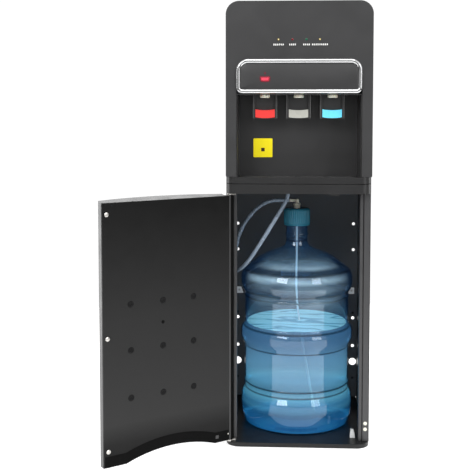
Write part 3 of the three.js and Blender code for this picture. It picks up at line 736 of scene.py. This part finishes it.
def top_cover():
    """The moulded cap behind the facade, hollow from below."""
    low, high = span("top_cover")
    crown = SHOULDER - 1
    inset = crown - WALL
    inner = rounded(low.x + WALL, low.z - 5, high.x - WALL, high.z - WALL, [0, 0, inset, inset], 20)
    cover = slab(low, high, [0, 0, crown, crown], 20)
    cut(cover, extrude("room", inner, low.y - 5, high.y - WALL, "xz"))
    instead(soften(cover, 0.9), "top_cover")


def header_panel():
    """The band over the bay, its plan corners rounded and its lower edge rolled under."""
    low, high = span("header_panel")
    outer = rounded(low.x, low.y, high.x, high.y, [PLAN_CORNER, PLAN_CORNER, 0, 0], 20)
    inset = PLAN_CORNER - WALL
    inner = rounded(low.x + WALL, low.y + WALL, high.x - WALL, high.y + 5, [inset, inset, 0, 0], 20)
    band = cut(extrude("band", outer, low.z, high.z), extrude("room", inner, low.z + WALL, high.z + 5))
    instead(soften(band, 2.2, 4, 50), "header_panel", BAND_DARK)


def front_facade():
    """The moulded front: rounded shoulders, the wide opening for the taps and four lamp holes."""
    low, high = FACADE_LOW, FACADE_HIGH
    shell = slab(low, high, [3, 3, SHOULDER, SHOULDER], 24)
    inset = SHOULDER - WALL
    hollow = rounded(low.x + WALL, low.z - 5, high.x - WALL, high.z - WALL, [0, 0, inset, inset], 24)
    ring_high = span("chrome_ring")[1]
    edge = ring_high.x + GAP
    opening = rounded(-edge, low.z - 5, edge, ring_high.z + GAP, [0, 0, 26, 26], 20)
    tools = [
        extrude("hollow", hollow, low.y + WALL, high.y + 5, "xz"),
        extrude("opening", opening, low.y - 5, low.y + 10, "xz"),
    ]
    for node in LAMPS:
        centre = middle(node)
        tools.append(bar("y", LAMP_HOLE, low.y - 5, low.y + 10, (centre.x, centre.z), 24))
    instead(soften(cut(shell, *tools), 1.1, 4), "front_facade")


def lamps():
    """Domed lenses that stand just proud of the facade, the white ones with a glowing core."""
    for node in LAMPS:
        low, high = span(node)
        radius = (high.x - low.x) / 2
        centre = middle(node)
        dome = [(0, low.y)]
        for angle in (math.radians(degrees) for degrees in range(15, 91, 15)):
            dome.append((radius * math.sin(angle), low.y + 0.9 * (1 - math.cos(angle))))
        profile = dome + [(radius, high.y - 0.4), (radius - 0.4, high.y), (0, high.y)]
        instead(smooth(turned("lens", profile, (centre.x, 0, centre.z), 32, "y")), node)
        if SLOT_OF[node] == "led_white":
            glow = from_base(low.y, [(0, -0.12), (0.7, -0.05), (0.95, 0.2), (0, 0.2)])
            core = smooth(turned("core", glow, (centre.x, 0, centre.z), 20, "y"))
            detail(core, f"{node}_core", LAMP_CORE, slot="led_white")


# ---- taps
RING_RADII = (13.5, 13.5, 26, 26)
RING_BAND = 9.7
BUTTON_HOLE = (3.8, 3.8, 1.3, 1.3)


def housing_ring(inset, y):
    """One loop of the tap housing's outline, pulled in by inset, at a depth."""
    radii = [max(radius - inset, 2.0) for radius in RING_RADII]
    return at_depth(facing(*span("chrome_ring"), radii, 20, -inset), y)


def chrome_ring():
    """A trim ring with a wide outer bevel, a flat band and a short inner bevel."""
    low, high = span("chrome_ring")
    front = [
        (0, 3.4), (0.35, 2.5), (1.0, 1.7), (2.6, 0.5), (3.4, 0.1), (4.2, 0), (6.2, 0.1), (6.9, 0.4),
        (8.8, 2.2), (9.4, 3.0), (RING_BAND, 4.2),
    ]
    section = [(0, high.y), *from_base(low.y, front), (RING_BAND, high.y)]
    instead(smooth(loft("ring", [housing_ring(*s) for s in section], around=True), 60), "chrome_ring")


def tap_housing():
    """The dark cover inside the ring, with its hidden flange and the button's hole."""
    low, high = span("tap_housing")
    shelf = FACADE_LOW.y + WALL + GAP
    face = RING_BAND + GAP
    front = from_base(low.y, [(face, 0.9), (face + 0.3, 0.25), (face + 1.0, 0)])
    section = [(GAP, high.y), (GAP, shelf), (face, shelf), *front]
    cover = loft("cover", [housing_ring(*s) for s in section])
    hole = facing(*span("child_lock_button"), BUTTON_HOLE, 6, GAP)
    tools = [
        loft("room", [housing_ring(GAP + WALL, shelf + WALL), housing_ring(GAP + WALL, high.y + 5)]),
        loft("room", [housing_ring(face + WALL, low.y + WALL), housing_ring(face + WALL, high.y)]),
        extrude("hole", hole, low.y - 5, high.y, "xz"),
    ]
    instead(smooth(cut(cover, *tools), 50), "tap_housing")


def child_lock():
    """The lit button, with dark red bands of painted shade for its shaded bevels, a border on its edge and
    a bezel round the hole, and a plain padlock mark over it.
    """
    low, high = span("child_lock_button")
    instead(soften(slab(low, high, [3.5, 3.5, 1, 1], 8), 0.8), "child_lock_button")
    face = span("tap_housing")[0].y
    # Dark red bands of painted shade for the button's shaded bevels: a bezel round the hole and a border on
    # the button's edge.
    outer = facing(low, high, [6, 6, 2.4, 2.4], 8, 2.4)
    inner = facing(low, high, BUTTON_HOLE, 8, GAP)
    bevel_shade = frame_of((outer, face - 0.05), (outer, face - 0.35), (inner, face - 0.5), (inner, face - 0.05))
    detail(smooth(bevel_shade), "child_lock_bevel_shade", MARK_AND_SHADE_RED)
    lit = facing(low, high, [2, 2, 0.8, 0.8], 8, -1.7)
    edge = facing(low, high, [3.3, 3.3, 1, 1], 8, -0.2)
    rim_shade = frame_of((edge, low.y + 0.6), (edge, low.y + 0.1), (lit, low.y - 0.12), (lit, low.y + 0.6))
    detail(smooth(rim_shade, 30), "child_lock_rim_shade", MARK_AND_SHADE_RED, BODY_OF["child_lock_button"])
    padlock_mark((low.x + high.x) / 2, high.z + 6.2, (face - 0.25, face - 0.03))


def frame_of(*rows):
    """A thin frame from outlines, each at its depth."""
    return loft("frame", [at_depth(*row) for row in rows], around=True)


def padlock_mark(x, z, depths):
    """A plain padlock: a rounded body under a bow."""
    detail(pad(x, z + 1.7, 2.2, 1.7, 0.5, 3, *depths), "child_lock_mark_body", MARK_AND_SHADE_RED)
    bow = arc(x, z + 3.7, 1.7, 0, 180, 16) + arc(x, z + 3.7, 1.1, 180, 0, 16)
    detail(extrude("mark", bow, *depths, "xz"), "child_lock_mark_bow", MARK_AND_SHADE_RED)


def taps():
    for name in ("hot", "room", "cold"):
        tap(name)
        paddle(name)


def tap(name):
    """A nozzle with a moulded collar and an open outlet, and the valve body over it."""
    node = f"{name}_tap"
    centre = middle(node)
    low, high = span(node)
    nozzle = [
        (0, 6), (6.2, 6), (7.2, 0.8), (8.0, 0), (9.9, 0), (10.8, 0.6), (11.5, 1.8), (11.5, 5.4), (10.9, 6),
        (10.9, 6.8), (11.5, 7.4), (11.5, 17.5), (13, 21),
    ]
    valve = [(13, -16), (12, -14.6), (6, -14), (6, -1), (5, 0), (0, 0)]
    profile = from_base(low.z, nozzle) + from_base(high.z, valve)
    instead(smooth(turned("nozzle", profile, (centre.x, centre.y, 0), 40)), node)


def paddle(name):
    """The channel-shaped lever, with rolled side rails that carry thin grey strips of painted highlight,
    and its coloured plate.
    """
    node, plate = f"{name}_paddle", f"{name}_insert"
    low, high = span(node)
    centre = middle(node)
    axis = high.z - 4.5
    rail = 22.8
    body = block((low.x, low.y, low.z), (high.x, high.y, axis))
    channel = block((centre.x - rail, low.y - 5, low.z + 1.2), (centre.x + rail, high.y - 3, axis + 10))
    cut(body, channel)
    fuse(body, bar("x", 4.5, low.x, high.x, (centre.y, axis)))
    instead(soften(body, 1.1, 3), node)
    # A thin grey strip on each rail is a painted highlight along its edge.
    for side, x in (("left", low.x + 0.9), ("right", high.x - 0.9)):
        line = rounded(x - 0.45, low.z + 2.5, x + 0.45, axis - 2, [0.3] * 4, 3)
        strip = extrude("strip", line, low.y - 0.12, low.y + 0.1, "xz")
        detail(strip, f"{node}_rail_{side}", RAIL_HIGHLIGHT, BODY_OF[node])
    low, high = span(plate)
    sag = 2
    half = (high.x - low.x) / 2
    smile = [(centre.x - half + 2 * half * i / 16, -sag * (1 - (i / 8 - 1) ** 2)) for i in range(17)]
    lower = [(x, low.z + sag + drop) for x, drop in smile]
    upper = [(x, high.z + drop) for x, drop in reversed(smile)]
    instead(soften(extrude("plate", lower + upper, low.y, high.y, "xz"), 0.7), plate)


def use_label():
    """A plain yellow sticker with a small dark square."""
    low, high = span("use_label")
    instead(soften(slab(low, high, [2] * 4, 6), 0.2, 2), "use_label")
    square = pad((low.x + high.x) / 2, low.z + 18, 4.2, 4.2, 0.5, 3, low.y - 0.2, low.y - 0.02)
    detail(square, "use_label_square", MARK_DARK)


# ---- generic lamp marks
def lamp_marks():
    """Under each lamp a small printed mark of dashes, a set width each."""
    y = FACADE_LOW.y
    dash, pitch = 2.6, 4.1
    for node, width in zip(LAMPS, (24, 15, 17, 38)):
        centre = middle(node)
        count = round(width / pitch)
        for i in range(count):
            x = centre.x + (i - (count - 1) / 2) * pitch
            mark = pad(x, centre.z - 11.5, dash / 2, 2, 0.7, 3, y - 0.12, y - 0.01)
            detail(mark, f"{node}_mark_{i}", MARK_WHITE)


# ---- drip tray
def drip_tray():
    refined("drip_tray", 0.9, 3, BAND_DARK)
    refined("drip_grille", 0.4, 2)


# ---- door
PANEL_LOW, PANEL_HIGH = span("door_inner_panel")
HINGE = Vector(JOINTS["door_hinge"]["pos_m"]) / MM
HINGE_RADIUS = 8.2
PIN_BORE = 3.3
OPEN = math.radians(JOINTS["door_hinge"]["range_deg"][1])
DOOR_INNER = -155
DOOR_PANEL = 2.5
DOOR_BOW = 12
FREE_EDGE = 164.5
EDGE_RADIUS = 3.5
EDGE_FRONT = -175
DOOR_ARCH = (112, 19)  # half its width, and its rise
BOSS = ((0, 0.15), (2.4, 0.25), (3.6, 1.3), (4.6, 1.6), (5.8, 1.3), (7.4, 0.02), (0, 0.02))
BOSS_COLUMNS = (99, 21, -56)
BOSS_ROWS = (362, 262, 158)
BLIND_HOLE = ((0, 0.02), (0, 0.25), (3.6, 0.25), (3.9, 0.1), (3.9, 0.02))
SCREW_X = 153.4


def opened(obj):
    """Swings a piece that was drawn on the closed door to where the door rests."""
    pivot = Matrix.Translation(Vector((HINGE.x, HINGE.y, 0)) * MM)
    obj.data.transform(pivot @ Matrix.Rotation(-OPEN, 4, "Z") @ pivot.inverted())
    return obj


def door_plan(inset):
    """A round barrel about the hinge, a bowed front and a squared free edge."""
    radius = HINGE_RADIUS - inset
    front = HINGE.y - radius
    edge = EDGE_RADIUS - inset
    edge_front = EDGE_FRONT + inset
    meet = math.degrees(math.asin((DOOR_INNER - inset - HINGE.y) / radius))
    points = arc(HINGE.x, HINGE.y, radius, meet, 270, 24)
    start, end = HINGE.x, FREE_EDGE - inset - edge
    for i in range(1, 40):
        t = i / 40
        y = front + (edge_front - front) * t * t * (3 - 2 * t) - DOOR_BOW * 4 * t * (1 - t)
        points.append((start + (end - start) * t, y))
    return points + arc(end, edge_front + edge, edge, 270, 360, 6) + [(end + edge, DOOR_INNER - inset)]


def arch_curve(low):
    """The door's arched foot, from right to left."""
    half, rise = DOOR_ARCH
    radius = (half * half + rise * rise) / (2 * rise)
    spread = math.degrees(math.asin(half / radius))
    return arc(0, low + rise - radius, radius, 90 - spread, 90 + spread, 40)


def toe_arch(low):
    half = DOOR_ARCH[0]
    outline = [(half, low - 12), *arch_curve(low), (-half, low - 12)]
    return extrude("arch", outline, FACADE_LOW.y - 60, DOOR_INNER + 10, "xz")


def door_skin():
    """The bowed outer shell, hollow behind, its top edge sloping up to the front."""
    low = span("door_outer_skin")[0]
    top = PANEL_HIGH.z
    behind = DOOR_INNER - DOOR_PANEL - GAP
    slope = math.atan2(3.9, 18.2)  # the top edge's rise over its depth
    lean = Matrix.Translation(Vector((0, behind, top + GAP)) * MM) @ Matrix.Rotation(-slope, 4, "X")
    floor, ceiling = low.z + WALL, top - 4
    panel_edge = HINGE.x + 6
    skin = extrude("skin", door_plan(0), low.z, top + 12)
    cut(
        skin,
        extrude("room", door_plan(WALL), floor, ceiling),
        block((panel_edge + WALL, behind - 2, floor), (FREE_EDGE - WALL, DOOR_INNER, ceiling)),
        block((-200, -60, 0), (200, 60, 40), lean),
        block((panel_edge, behind, 0), (200, 0, 700)),
        block((-200, -200, top + 0.6), (HINGE.x + 15, 0, 700)),
        bar("z", PIN_BORE, low.z - WALL, floor + GAP, (HINGE.x, HINGE.y)),
        bar("z", PIN_BORE, ceiling - GAP, top + WALL, (HINGE.x, HINGE.y)),
        toe_arch(low.z),
    )
    instead(opened(soften(skin, 0.9, 3, 40)), "door_outer_skin")


def door_panel():
    """The flat inner sheet with its arched foot and its screw holes."""
    front = DOOR_INNER - DOOR_PANEL
    outline = rounded(HINGE.x + 6.3, PANEL_LOW.z, FREE_EDGE - 0.4, PANEL_HIGH.z, [1] * 4, 4)
    sheet = extrude("panel", outline, front, DOOR_INNER, "xz")
    tools = [toe_arch(PANEL_LOW.z - 0.2)]
    tools += [bar("y", 2.3, front - 5, DOOR_INNER + 5, (SCREW_X, z), 24) for z in SCREW_HEIGHTS]
    instead(opened(soften(cut(sheet, *tools), 0.5, 2)), "door_inner_panel", DOOR_SHEET)


def on_door(profile, x, z, name, look):
    """A small round feature on the door's inner sheet."""
    feature = smooth(turned("feature", from_base(DOOR_INNER, profile), (x, 0, z), 28, "y"))
    detail(opened(feature), name, look, "door", "black_sheet")


def door_bosses():
    """Shallow bosses that the outer skin's posts leave, and one blind hole drawn as a dull black disc of
    painted shade.
    """
    for column, x in enumerate(BOSS_COLUMNS):
        for row, z in enumerate(BOSS_ROWS):
            on_door(BOSS, x, z, f"door_boss_{column}_{row}", BOSS_DARK)
    # The blind hole is a dull black disc: painted shade for the hole.
    on_door(BLIND_HOLE, BOSS_COLUMNS[1], 314, "door_blind_hole", DULL_BLACK)


def hinge_details():
    """A rivet beside the lower hinge pin and the small stop plate next to it."""
    rivet = cross_head(1.8, 0.9, (HINGE.x + 9.5, DOOR_INNER + 0.05, 31), 1)
    detail(opened(rivet), "hinge_rivet", LOOKS["cream_plastic"], "door", "steel")
    plate = block((-121, DOOR_INNER + 0.42, 25.5), (-113, DOOR_INNER + 1.4, 33))
    detail(opened(soften(plate, 0.3, 2)), "hinge_stop_plate", LOOKS["dark_plastic"], "door", "dark_plastic")


def hinge_barrel_shade():
    """A dull black sleeve of painted shade round the hinge barrel, on the side that shows when the door is
    open, where the barrel lies in shadow.
    """
    inner, outer = HINGE_RADIUS + 0.05, HINGE_RADIUS + 0.35
    outline = arc(HINGE.x, HINGE.y, outer, 72, 215, 24) + arc(HINGE.x, HINGE.y, inner, 215, 72, 24)
    barrel_shade = smooth(extrude("barrel_shade", outline, span("door_outer_skin")[0].z + 0.3, PANEL_HIGH.z))
    detail(opened(barrel_shade), "hinge_barrel_shade", DULL_BLACK, "door", "black_sheet")


def door_arch_band():
    """A dull black strip laid along the panel's arched foot, darkening a band there."""
    half, width = DOOR_ARCH[0], 24
    arch = [(x, z + 0.6) for x, z in reversed(arch_curve(PANEL_LOW.z))]
    low = PANEL_LOW.z + 0.5
    lower = [(HINGE.x + 8, low), (-half, low), *arch, (half, low), (FREE_EDGE - 3, low)]
    upper = [(x, z + width) for x, z in reversed(lower)]
    arch_band = extrude("arch_band", lower + upper, DOOR_INNER + 0.03, DOOR_INNER + 0.4, "xz")
    detail(opened(arch_band), "door_arch_band", DULL_BLACK, "door", "black_sheet")


SCREW_HEIGHTS = [middle(f"door_screw_{place}").z for place in ("top", "middle", "bottom")]


def cross_head(radius, height, at, out=-1):
    """A pan-head screw with a cross recess, facing along Y by out (1 or -1)."""
    x, y, z = at
    dome = [(0, 1), (0.55, 0.97), (0.85, 0.7), (1, 0.15), (1, 0), (0, 0)]
    profile = [(radius * across, y + out * height * up) for across, up in dome]
    head = turned("screw", profile, (x, 0, z), 32, "y")
    arm, width = radius * 0.5, radius * 0.13
    deep = sorted((y + out * height * 0.35, y + out * (height + 2)))
    cut(
        head,
        block((x - arm, deep[0], z - width), (x + arm, deep[1], z + width)),
        block((x - width, deep[0], z - arm), (x + width, deep[1], z + arm)),
    )
    return smooth(head, 30)


def door_screws():
    for place, z in zip(("top", "middle", "bottom"), SCREW_HEIGHTS):
        head = cross_head(5, 1.7, (SCREW_X, DOOR_INNER + GAP, z), 1)
        shank = bar("y", 2, DOOR_INNER - 11, DOOR_INNER + GAP + 0.2, (SCREW_X, z), 20)
        instead(opened(smooth(fuse(head, shank), 30)), f"door_screw_{place}")


# ---- bottle
FLOOR = span("bottle")[0].z


def bead(z):
    """A fine moulded line round the body."""
    radius, out = 127.2, 1.3
    return [(radius, z - 2.4), (radius + out, z - 0.9), (radius + out, z + 0.9), (radius, z + 2.4)]


OUTLINE = [
    (118, FLOOR), (128, 14), (134.6, 34), (136.5, 62), (134.6, 82), (128, 96), *bead(112),
    (127.5, 200), (134, 214), (136.5, 222), (136.5, 240), (134, 247), (127, 256), *bead(324),
    (127, 332), (134, 343), (136.5, 356), (136.5, 372), (132, 386), (111, 403), (92, 417), (71, 428),
    (44, 437), (29.5, 446), (26.5, 456),
]
PUNT = [(0, 21), (46, 20), (84, 15), (100, FLOOR + 0.6)]
NECK_TOP = span("bottle")[1].z
WATER_LEVEL = span("water")[1].z
BOTTLE_WALL = 1.8
BOTTLE_FILLET = 1.6


def shrunk(profile, by):
    """The profile of a wall's inner side: a step inwards at right angles to the line."""
    out = []
    for i, (r, z) in enumerate(profile):
        before, after = profile[max(i - 1, 0)], profile[min(i + 1, len(profile) - 1)]
        along = Vector((after[0] - before[0], after[1] - before[1])).normalized()
        out.append((max(r - along.y * by, 0), z + along.x * by))
    return out


def bottle():
    """A blow-moulded bottle: a domed floor, two waist bands and a neck ring under the cap."""
    neck = [(26.5, 462), (26.5, 470), (28.6, 472), (28.6, 475), (26.5, 477), (26.5, NECK_TOP)]
    outside = filleted(PUNT + OUTLINE + neck, BOTTLE_FILLET)
    inside = shrunk(outside, BOTTLE_WALL)
    inside[0] = (0, outside[0][1] + BOTTLE_WALL)
    obj = turned("bottle", outside + list(reversed(inside)), sides=128)
    instead(smooth(obj, 80), "bottle")


def swell(x, y, long, bend, bow, short, tilt):
    """Ripples that run across the bottle, their lengths over two pi in millimetres."""
    return math.sin(y / long + bend * math.sin(x / bow)) + 0.5 * math.sin(y / short + x / tilt)


def water():
    """The water up to its level, its surface rippled and drawn up a little at the wall."""
    inside = shrunk(filleted(PUNT + OUTLINE, BOTTLE_FILLET), BOTTLE_WALL + 0.35)
    side = [(r, z) for r, z in inside if z < WATER_LEVEL - 1]
    side[0] = (0, side[0][1])
    rim = side[-1][0]
    top = [(rim, WATER_LEVEL - 0.1), (rim - 1.5, WATER_LEVEL - 0.9)]
    top += [((rim - 3) * (1 - i / 24), WATER_LEVEL - 1.2) for i in range(25)]
    obj = turned("water", side + top, sides=128)
    for vert in obj.data.vertices:
        x, y, z = vert.co / MM
        reach = math.hypot(x, y)
        if z > WATER_LEVEL - 1.5 and reach < rim - 2.5:
            vert.co.z += 0.2 * MM * swell(x, y, 7.0, 1.4, 31.0, 3.4, 19.0) * (1 - reach / rim)
    instead(smooth(obj, 60), "water")
    water_surface(rim - 3)


def water_surface(radius):
    """A thin skin just over the water, with the ripples in its shape."""
    rings = [(radius * i / 40, WATER_LEVEL - 0.35) for i in range(41)]
    rows = rings + [(r, z - 0.25) for r, z in reversed(rings)]
    obj = turned("skin", rows, sides=96)
    for vert in obj.data.vertices:
        x, y, z = vert.co / MM
        height = 0.22 * MM * (1 - math.hypot(x, y) / radius)
        vert.co.z += height * swell(x, y, 6.0, 1.5, 29.0, 3.1, 17.0)
    detail(smooth(obj, 60), "water_surface", surface_look(), "cabinet", "water")


def bottle_cap():
    """A ribbed cap: a rounded lid, the ribbed skirt and a plain band along its lower edge."""
    low, high = span("bottle_cap")
    ribs = 36
    sides = ribs * 8

    def ring(radius, z, depth):
        points = []
        for k in range(sides):
            angle = 2 * math.pi * k / sides
            r = radius + depth * abs(math.sin(ribs / 2 * angle)) ** 0.45
            points.append((r * math.cos(angle), r * math.sin(angle), z))
        return points

    bore = 27
    band = [(bore, 0, 0), (31.6, 0, 0), (32.4, 0.6, 0), (32.4, 3.6, 0), (31.6, 4.4, 0), (30.4, 5.2, 2.0)]
    lid = [
        (30.3, -6, 2.0), (30.2, -4.5, 1.3), (30.4, -2.4, 0.2), (29.2, -0.8, 0), (27.4, 0, 0), (14, 0, 0),
        (12.6, -0.8, 0), (3.2, -0.8, 0), (3.2, -3, 0), (bore, -3, 0),
    ]
    rings = [ring(r, low.z + z, depth) for r, z, depth in band]
    rings += [ring(r, high.z + z, depth) for r, z, depth in lid]
    instead(smooth(loft("cap", rings, around=True), 42), "bottle_cap")


TUBE_RADIUS = 2.5
TUBE_ROUTE = [(0, 0, 541), (0, 0, 430), (0.4, 0, 320), (8, 0, 250), (24, 0, 140), (40, 0, 34)]


def dip_tube():
    tube = meshed(smooth_curve("dip_tube", TUBE_ROUTE, TUBE_RADIUS))
    instead(smooth(tube, 60), "dip_tube", TUBE_CLEAR)


def elbow_fitting():
    """The cap's moulded elbow: a collar, a bead and a barbed arm towards the hose."""
    low, high = span("elbow_fitting")
    axis = HOSE_ROUTE[0][2]
    collar = [(2.9, 0), (8, 0), (8, 5.6), (9, 6.6), (9, 10), (8, 11), (5.4, 11.6)]
    knee = [(5.0, -4), (5.0, 1), (4.3, 2.8), (2.6, 3.8)]
    bore = [(0, high.z), (0, low.z + 8), (2.9, low.z + 8)]
    post = turned("post", from_base(low.z, collar) + from_base(axis, knee) + bore, sides=36)
    barbs = [(0, 0), (3.2, 0), (4, 2.4), (3.3, 2.6), (4, 5.2), (3.5, 5.4)]
    arm = turned("arm", from_base(low.x, barbs) + [(3.5, 0), (0, 0)], (0, 0, axis), 32, "x")
    instead(smooth(fuse(post, arm), 35), "elbow_fitting")


def hose_port():
    """A flanged gland in the bay's ceiling."""
    low, high = span("hose_port")
    centre = middle("hose_port")
    flange = [(0, 0.2), (5.2, 0.2), (8.2, 0), (9, 0.6), (9, 1.6), (8.6, 2.0), (6, 2.2), (6, 6)]
    profile = from_base(low.z, flange) + [(5, high.z - 0.8), (4.4, high.z), (0, high.z)]
    instead(smooth(turned("port", profile, (centre.x, centre.y, 0), 36)), "hose_port")


# ---- small hardware that only shows
def screw(name, slot, *head):
    detail(cross_head(*head), name, LOOKS[slot], slot=slot)


def bay_screws():
    """Screws at the right stile's foot, along the rear panel and in its two clips."""
    stile = span("front_stile_right")[0]
    for i, z in enumerate((51.8, 38.1)):
        screw(f"stile_screw_{i}", "cream_plastic", 4.3, 0.8, (156.5, stile.y - 0.05, z))
    rear = span("rear_panel")[0]
    for side, sign in (("left", -1), ("right", 1)):
        for i, z in enumerate((238, 62)):
            screw(f"rear_screw_{side}_{i}", "black_sheet", 3, 1.4, (sign * REAR_X, rear.y - 0.05, z))
        clip = middle(f"rear_clip_{side}")
        screw(f"clip_screw_{side}", "steel", 2.6, 1.2, (sign * 149, clip.y - 2.6, 298))


def rear_flange():
    """The rear panel's foot, folded inwards over the base plate."""
    rear = span("rear_panel")[0]
    fold = block((-162, rear.y - 6, rear.z - 0.25), (162, rear.y - 0.1, rear.z + 1.2))
    detail(soften(fold, 0.4, 2), "rear_flange", LOOKS["black_sheet"], slot="black_sheet")


# ---- light and floor
def area(name, place, target, size, power):
    data = bpy.data.lights.new(name, "AREA")
    data.shape = "RECTANGLE"
    data.size, data.size_y = size
    data.energy = power
    lamp = linked(name, data)
    lamp.location = place
    lamp.rotation_euler = (Vector(target) - Vector(place)).to_track_quat("-Z", "Y").to_euler()


def surroundings():
    """Plain white behind the object, and for everything it mirrors a room lit from above."""
    world = bpy.data.worlds.new("world")
    world.use_nodes = True
    tree = world.node_tree
    link = tree.links.new
    room = tree.nodes["Background"]
    white = new_node(tree, "Background", Color=(1, 1, 1, 1), Strength=1.05)
    coords = new_node(tree, "TexCoord")
    split = new_node(tree, "SeparateXYZ")
    height = new_node(tree, "MapRange", From_Min=-1)
    ramp = new_node(tree, "ValToRGB")
    elements = ramp.color_ramp.elements
    for position, grey in ((0.0, 0.10), (0.42, 0.18), (0.50, 0.32), (0.60, 0.62), (0.78, 1.2), (1.0, 1.4)):
        elements.new(position).color = (grey, grey, grey, 1)
    elements.remove(elements[0])
    elements.remove(elements[-1])
    link(coords.outputs["Generated"], split.inputs["Vector"])
    link(split.outputs["Z"], height.inputs["Value"])
    link(height.outputs["Result"], ramp.inputs["Fac"])
    link(ramp.outputs["Color"], room.inputs["Color"])
    path = new_node(tree, "LightPath")
    mix = new_node(tree, "MixShader")
    link(path.outputs["Is Camera Ray"], mix.inputs["Fac"])
    link(room.outputs["Background"], mix.inputs[1])
    link(white.outputs["Background"], mix.inputs[2])
    link(mix.outputs["Shader"], tree.nodes["World Output"].inputs["Surface"])
    bpy.context.scene.world = world


def pale_floor():
    floor = extrude("floor", circle(-60, -60, 1500, 96), -12, -0.2)
    look = Look("floor", (0.90, 0.90, 0.90), 0.7)
    look.mottle(look.noise(1.5), 0.004)
    glowing(look, (1, 1, 1), 0.42)
    floor.data.materials.append(look.material)


def studio():
    """A soft key from the front left, a weaker fill from the right, a strip overhead and rims behind."""
    bpy.context.scene.view_settings.view_transform = "Standard"
    surroundings()
    pale_floor()
    area("key", (-1.5, -2.4, 2.1), (0, 0, 0.6), (1.2, 1.2), 36)
    area("fill", (1.9, -2.2, 1.3), (0, 0, 0.6), (1.0, 1.8), 24)
    area("top", (0.1, -0.9, 2.6), (0, -0.1, 0.5), (1.6, 0.5), 14)
    area("rim_left", (-2.2, 0.5, 0.7), (-0.2, -0.2, 0.5), (1.0, 1.8), 22)
    area("rim_right", (2.2, 0.7, 0.8), (0.1, 0, 0.6), (0.8, 1.8), 16)
    area("back", (-0.4, 2.2, 1.7), (-0.2, -0.2, 0.5), (3.0, 1.0), 16)


# ---- the object
base_plate()
rear_panel()
top_cover()
header_panel()
front_facade()
lamps()
chrome_ring()
tap_housing()
child_lock()
taps()
use_label()
lamp_marks()
drip_tray()
door_skin()
door_panel()
door_bosses()
door_arch_band()
hinge_barrel_shade()
hinge_details()
door_screws()
bottle()
water()
bottle_cap()
dip_tube()
elbow_fitting()
hose_port()
bay_screws()
rear_flange()
for node in sorted(set(frame["nodes"]) - DONE):
    refined(node, look=CLIP_GREY if node.startswith("rear_clip") else None)
studio()

bpy.context.view_layer.update()
